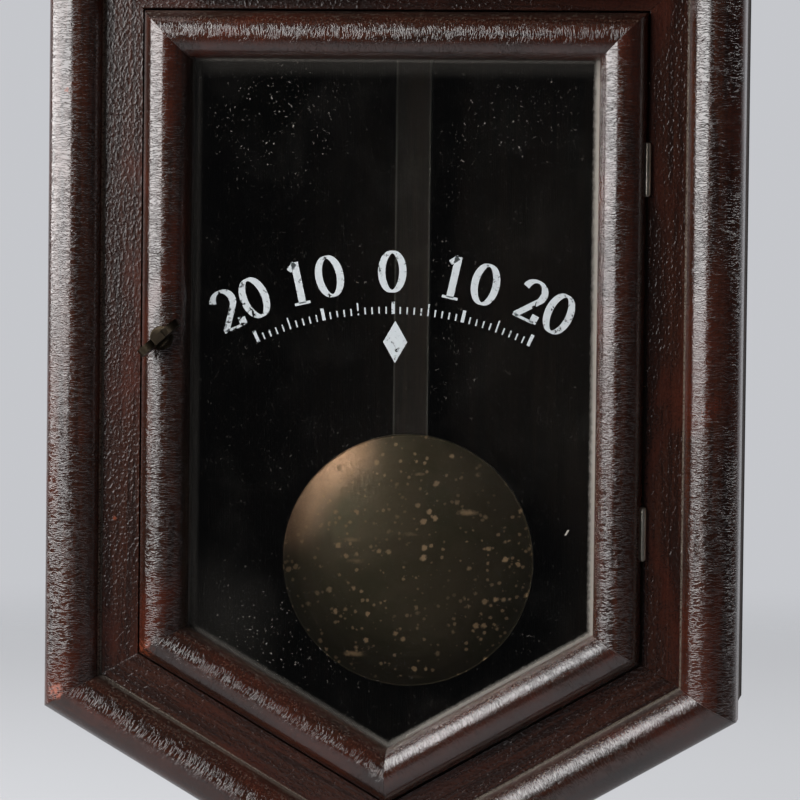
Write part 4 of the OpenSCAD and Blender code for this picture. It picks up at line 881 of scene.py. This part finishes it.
def make_world():
    """Pale to the camera and through clear glass, and else only behind the clock, where its front doesn't
    face."""
    world = bpy.data.worlds.new("studio")
    scene.world = world
    world.use_nodes = True
    tree = world.node_tree
    direction = tree.nodes.new("ShaderNodeTexCoord").outputs["Generated"]
    split = tree.nodes.new("ShaderNodeSeparateXYZ")
    tree.links.new(direction, split.inputs[0])
    front = tree.nodes.new("ShaderNodeMapRange")
    front.interpolation_type = "SMOOTHSTEP"
    front.inputs["From Min"].default_value, front.inputs["From Max"].default_value = PALE_BEHIND
    tree.links.new(split.outputs[1], front.inputs["Value"])
    mix = tree.nodes.new("ShaderNodeMix")
    mix.data_type = "RGBA"

    def calc(operation, first, second):
        made = tree.nodes.new("ShaderNodeMath")
        made.operation = operation
        for socket, value in zip(made.inputs, (first, second)):
            if isinstance(value, bpy.types.NodeSocket):
                tree.links.new(value, socket)
            else:
                socket.default_value = value
        return made.outputs[0]

    rays = tree.nodes.new("ShaderNodeLightPath").outputs
    bounced = calc("ADD", rays["Diffuse Depth"], rays["Glossy Depth"])
    through = calc("MULTIPLY", rays["Is Transmission Ray"], calc("LESS_THAN", bounced, 0.5))
    seen = calc("MAXIMUM", rays["Is Camera Ray"], through)
    tree.links.new(calc("MAXIMUM", seen, front.outputs["Result"]), mix.inputs["Factor"])
    mix.inputs[6].default_value = (*WORLD_DIM, 1)
    mix.inputs[7].default_value = (*WORLD_PALE, 1)
    tree.links.new(mix.outputs[2], tree.nodes["Background"].inputs["Color"])


def add_lamp(name, middle, away, width, height, radiance):
    """A soft lamp that the camera doesn't see. Its back looks along away."""
    data = bpy.data.lights.new(name, "AREA")
    data.shape = "RECTANGLE"
    data.size, data.size_y = width, height
    data.energy = radiance * math.pi * width * height
    data.color = LAMP_TONE
    lamp = bpy.data.objects.new(name, data)
    scene.collection.objects.link(lamp)
    away = away.normalized()
    right = Vector((0, 0, 1)).cross(away).normalized()
    turn = Matrix((right, away.cross(right), away)).transposed().to_4x4()
    lamp.matrix_world = Matrix.Translation(middle) @ turn
    lamp.visible_camera = False


def add_window():
    """A tall window to the left, between two upright edges, that faces the clock."""
    low, high = WINDOW_HEIGHTS
    across = WINDOW_NEAR - WINDOW_FAR
    up = Vector((0, 0, 1))
    middle = (WINDOW_NEAR + WINDOW_FAR) / 2 + up * (low + high) / 2
    add_lamp("window", middle, across.cross(up), across.length, high - low, WINDOW_RADIANCE)


def add_fill():
    """A lamp high up behind the right side, for that side, the top and the back."""
    middle = sum((Vector(corner) for corner in cad_box), Vector()) / 2
    add_lamp("fill", FILL_AT, FILL_AT - middle, FILL_SIDE, FILL_SIDE, FILL_RADIANCE)


# The floor: its height and radius, how far behind the wall the middle of its fade is, its glow, the share of
# that glow in reflections, and the distances in millimetres from that middle where it is gone and full
FLOOR_Z = -0.815
FLOOR_RADIUS = 2.2
FLOOR_BACK = 0.5
FLOOR_LIFT = 0.42
FLOOR_SHINE = 0.4
FLOOR_FADE = (1500.0, 600.0)


def make_floor():
    """A pale floor that fades into the surroundings."""
    bm = bmesh.new()
    bmesh.ops.create_circle(bm, cap_ends=True, segments=96, radius=FLOOR_RADIUS)
    mesh = bpy.data.meshes.new("floor")
    bm.to_mesh(mesh)
    bm.free()
    floor = bpy.data.objects.new("floor", mesh)
    floor.location.z = FLOOR_Z
    scene.collection.objects.link(floor)
    p = Paint("pale_floor", Base_Color=(0.32, 0.325, 0.335, 1), Roughness=0.9, Specular_IOR_Level=0.1)
    back = p.y - FLOOR_BACK / MM
    far = p.calc("SQRT", p.x * p.x + back * back)
    p.set("Alpha", far.step(*FLOOR_FADE))
    p.set("Emission Color", (*WORLD_PALE, 1))
    rays = p.node("LightPath").outputs
    seen = p.calc("MAXIMUM", rays["Is Camera Ray"], rays["Is Transmission Ray"])
    seen = seen.most(p.calc("MULTIPLY", rays["Is Glossy Ray"], FLOOR_SHINE))
    p.set("Emission Strength", seen * FLOOR_LIFT)
    mesh.materials.append(p.material)


make_camera()
finish_nodes()
soften_edges()
ink = flat_paint("dial_ink", (0.012, 0.011, 0.011), (0.22, 0.17, 0.10), 0.02)
add_mesh("dial_figures", "case", ink.material, dial_figures)
add_mesh("dial_track", "case", ink.material, dial_track)
white = worn_white("scale_white")
add_mesh("glass_scale", "door", white.material, glass_scale)
add_mesh("glass_ticks", "door", white.material, glass_ticks)
add_mesh("glass_dust", "door", glass_dust("dust_film").material, dust_sheet)
make_world()
add_window()
add_fill()
make_floor()
scene.view_settings.view_transform = "Standard"
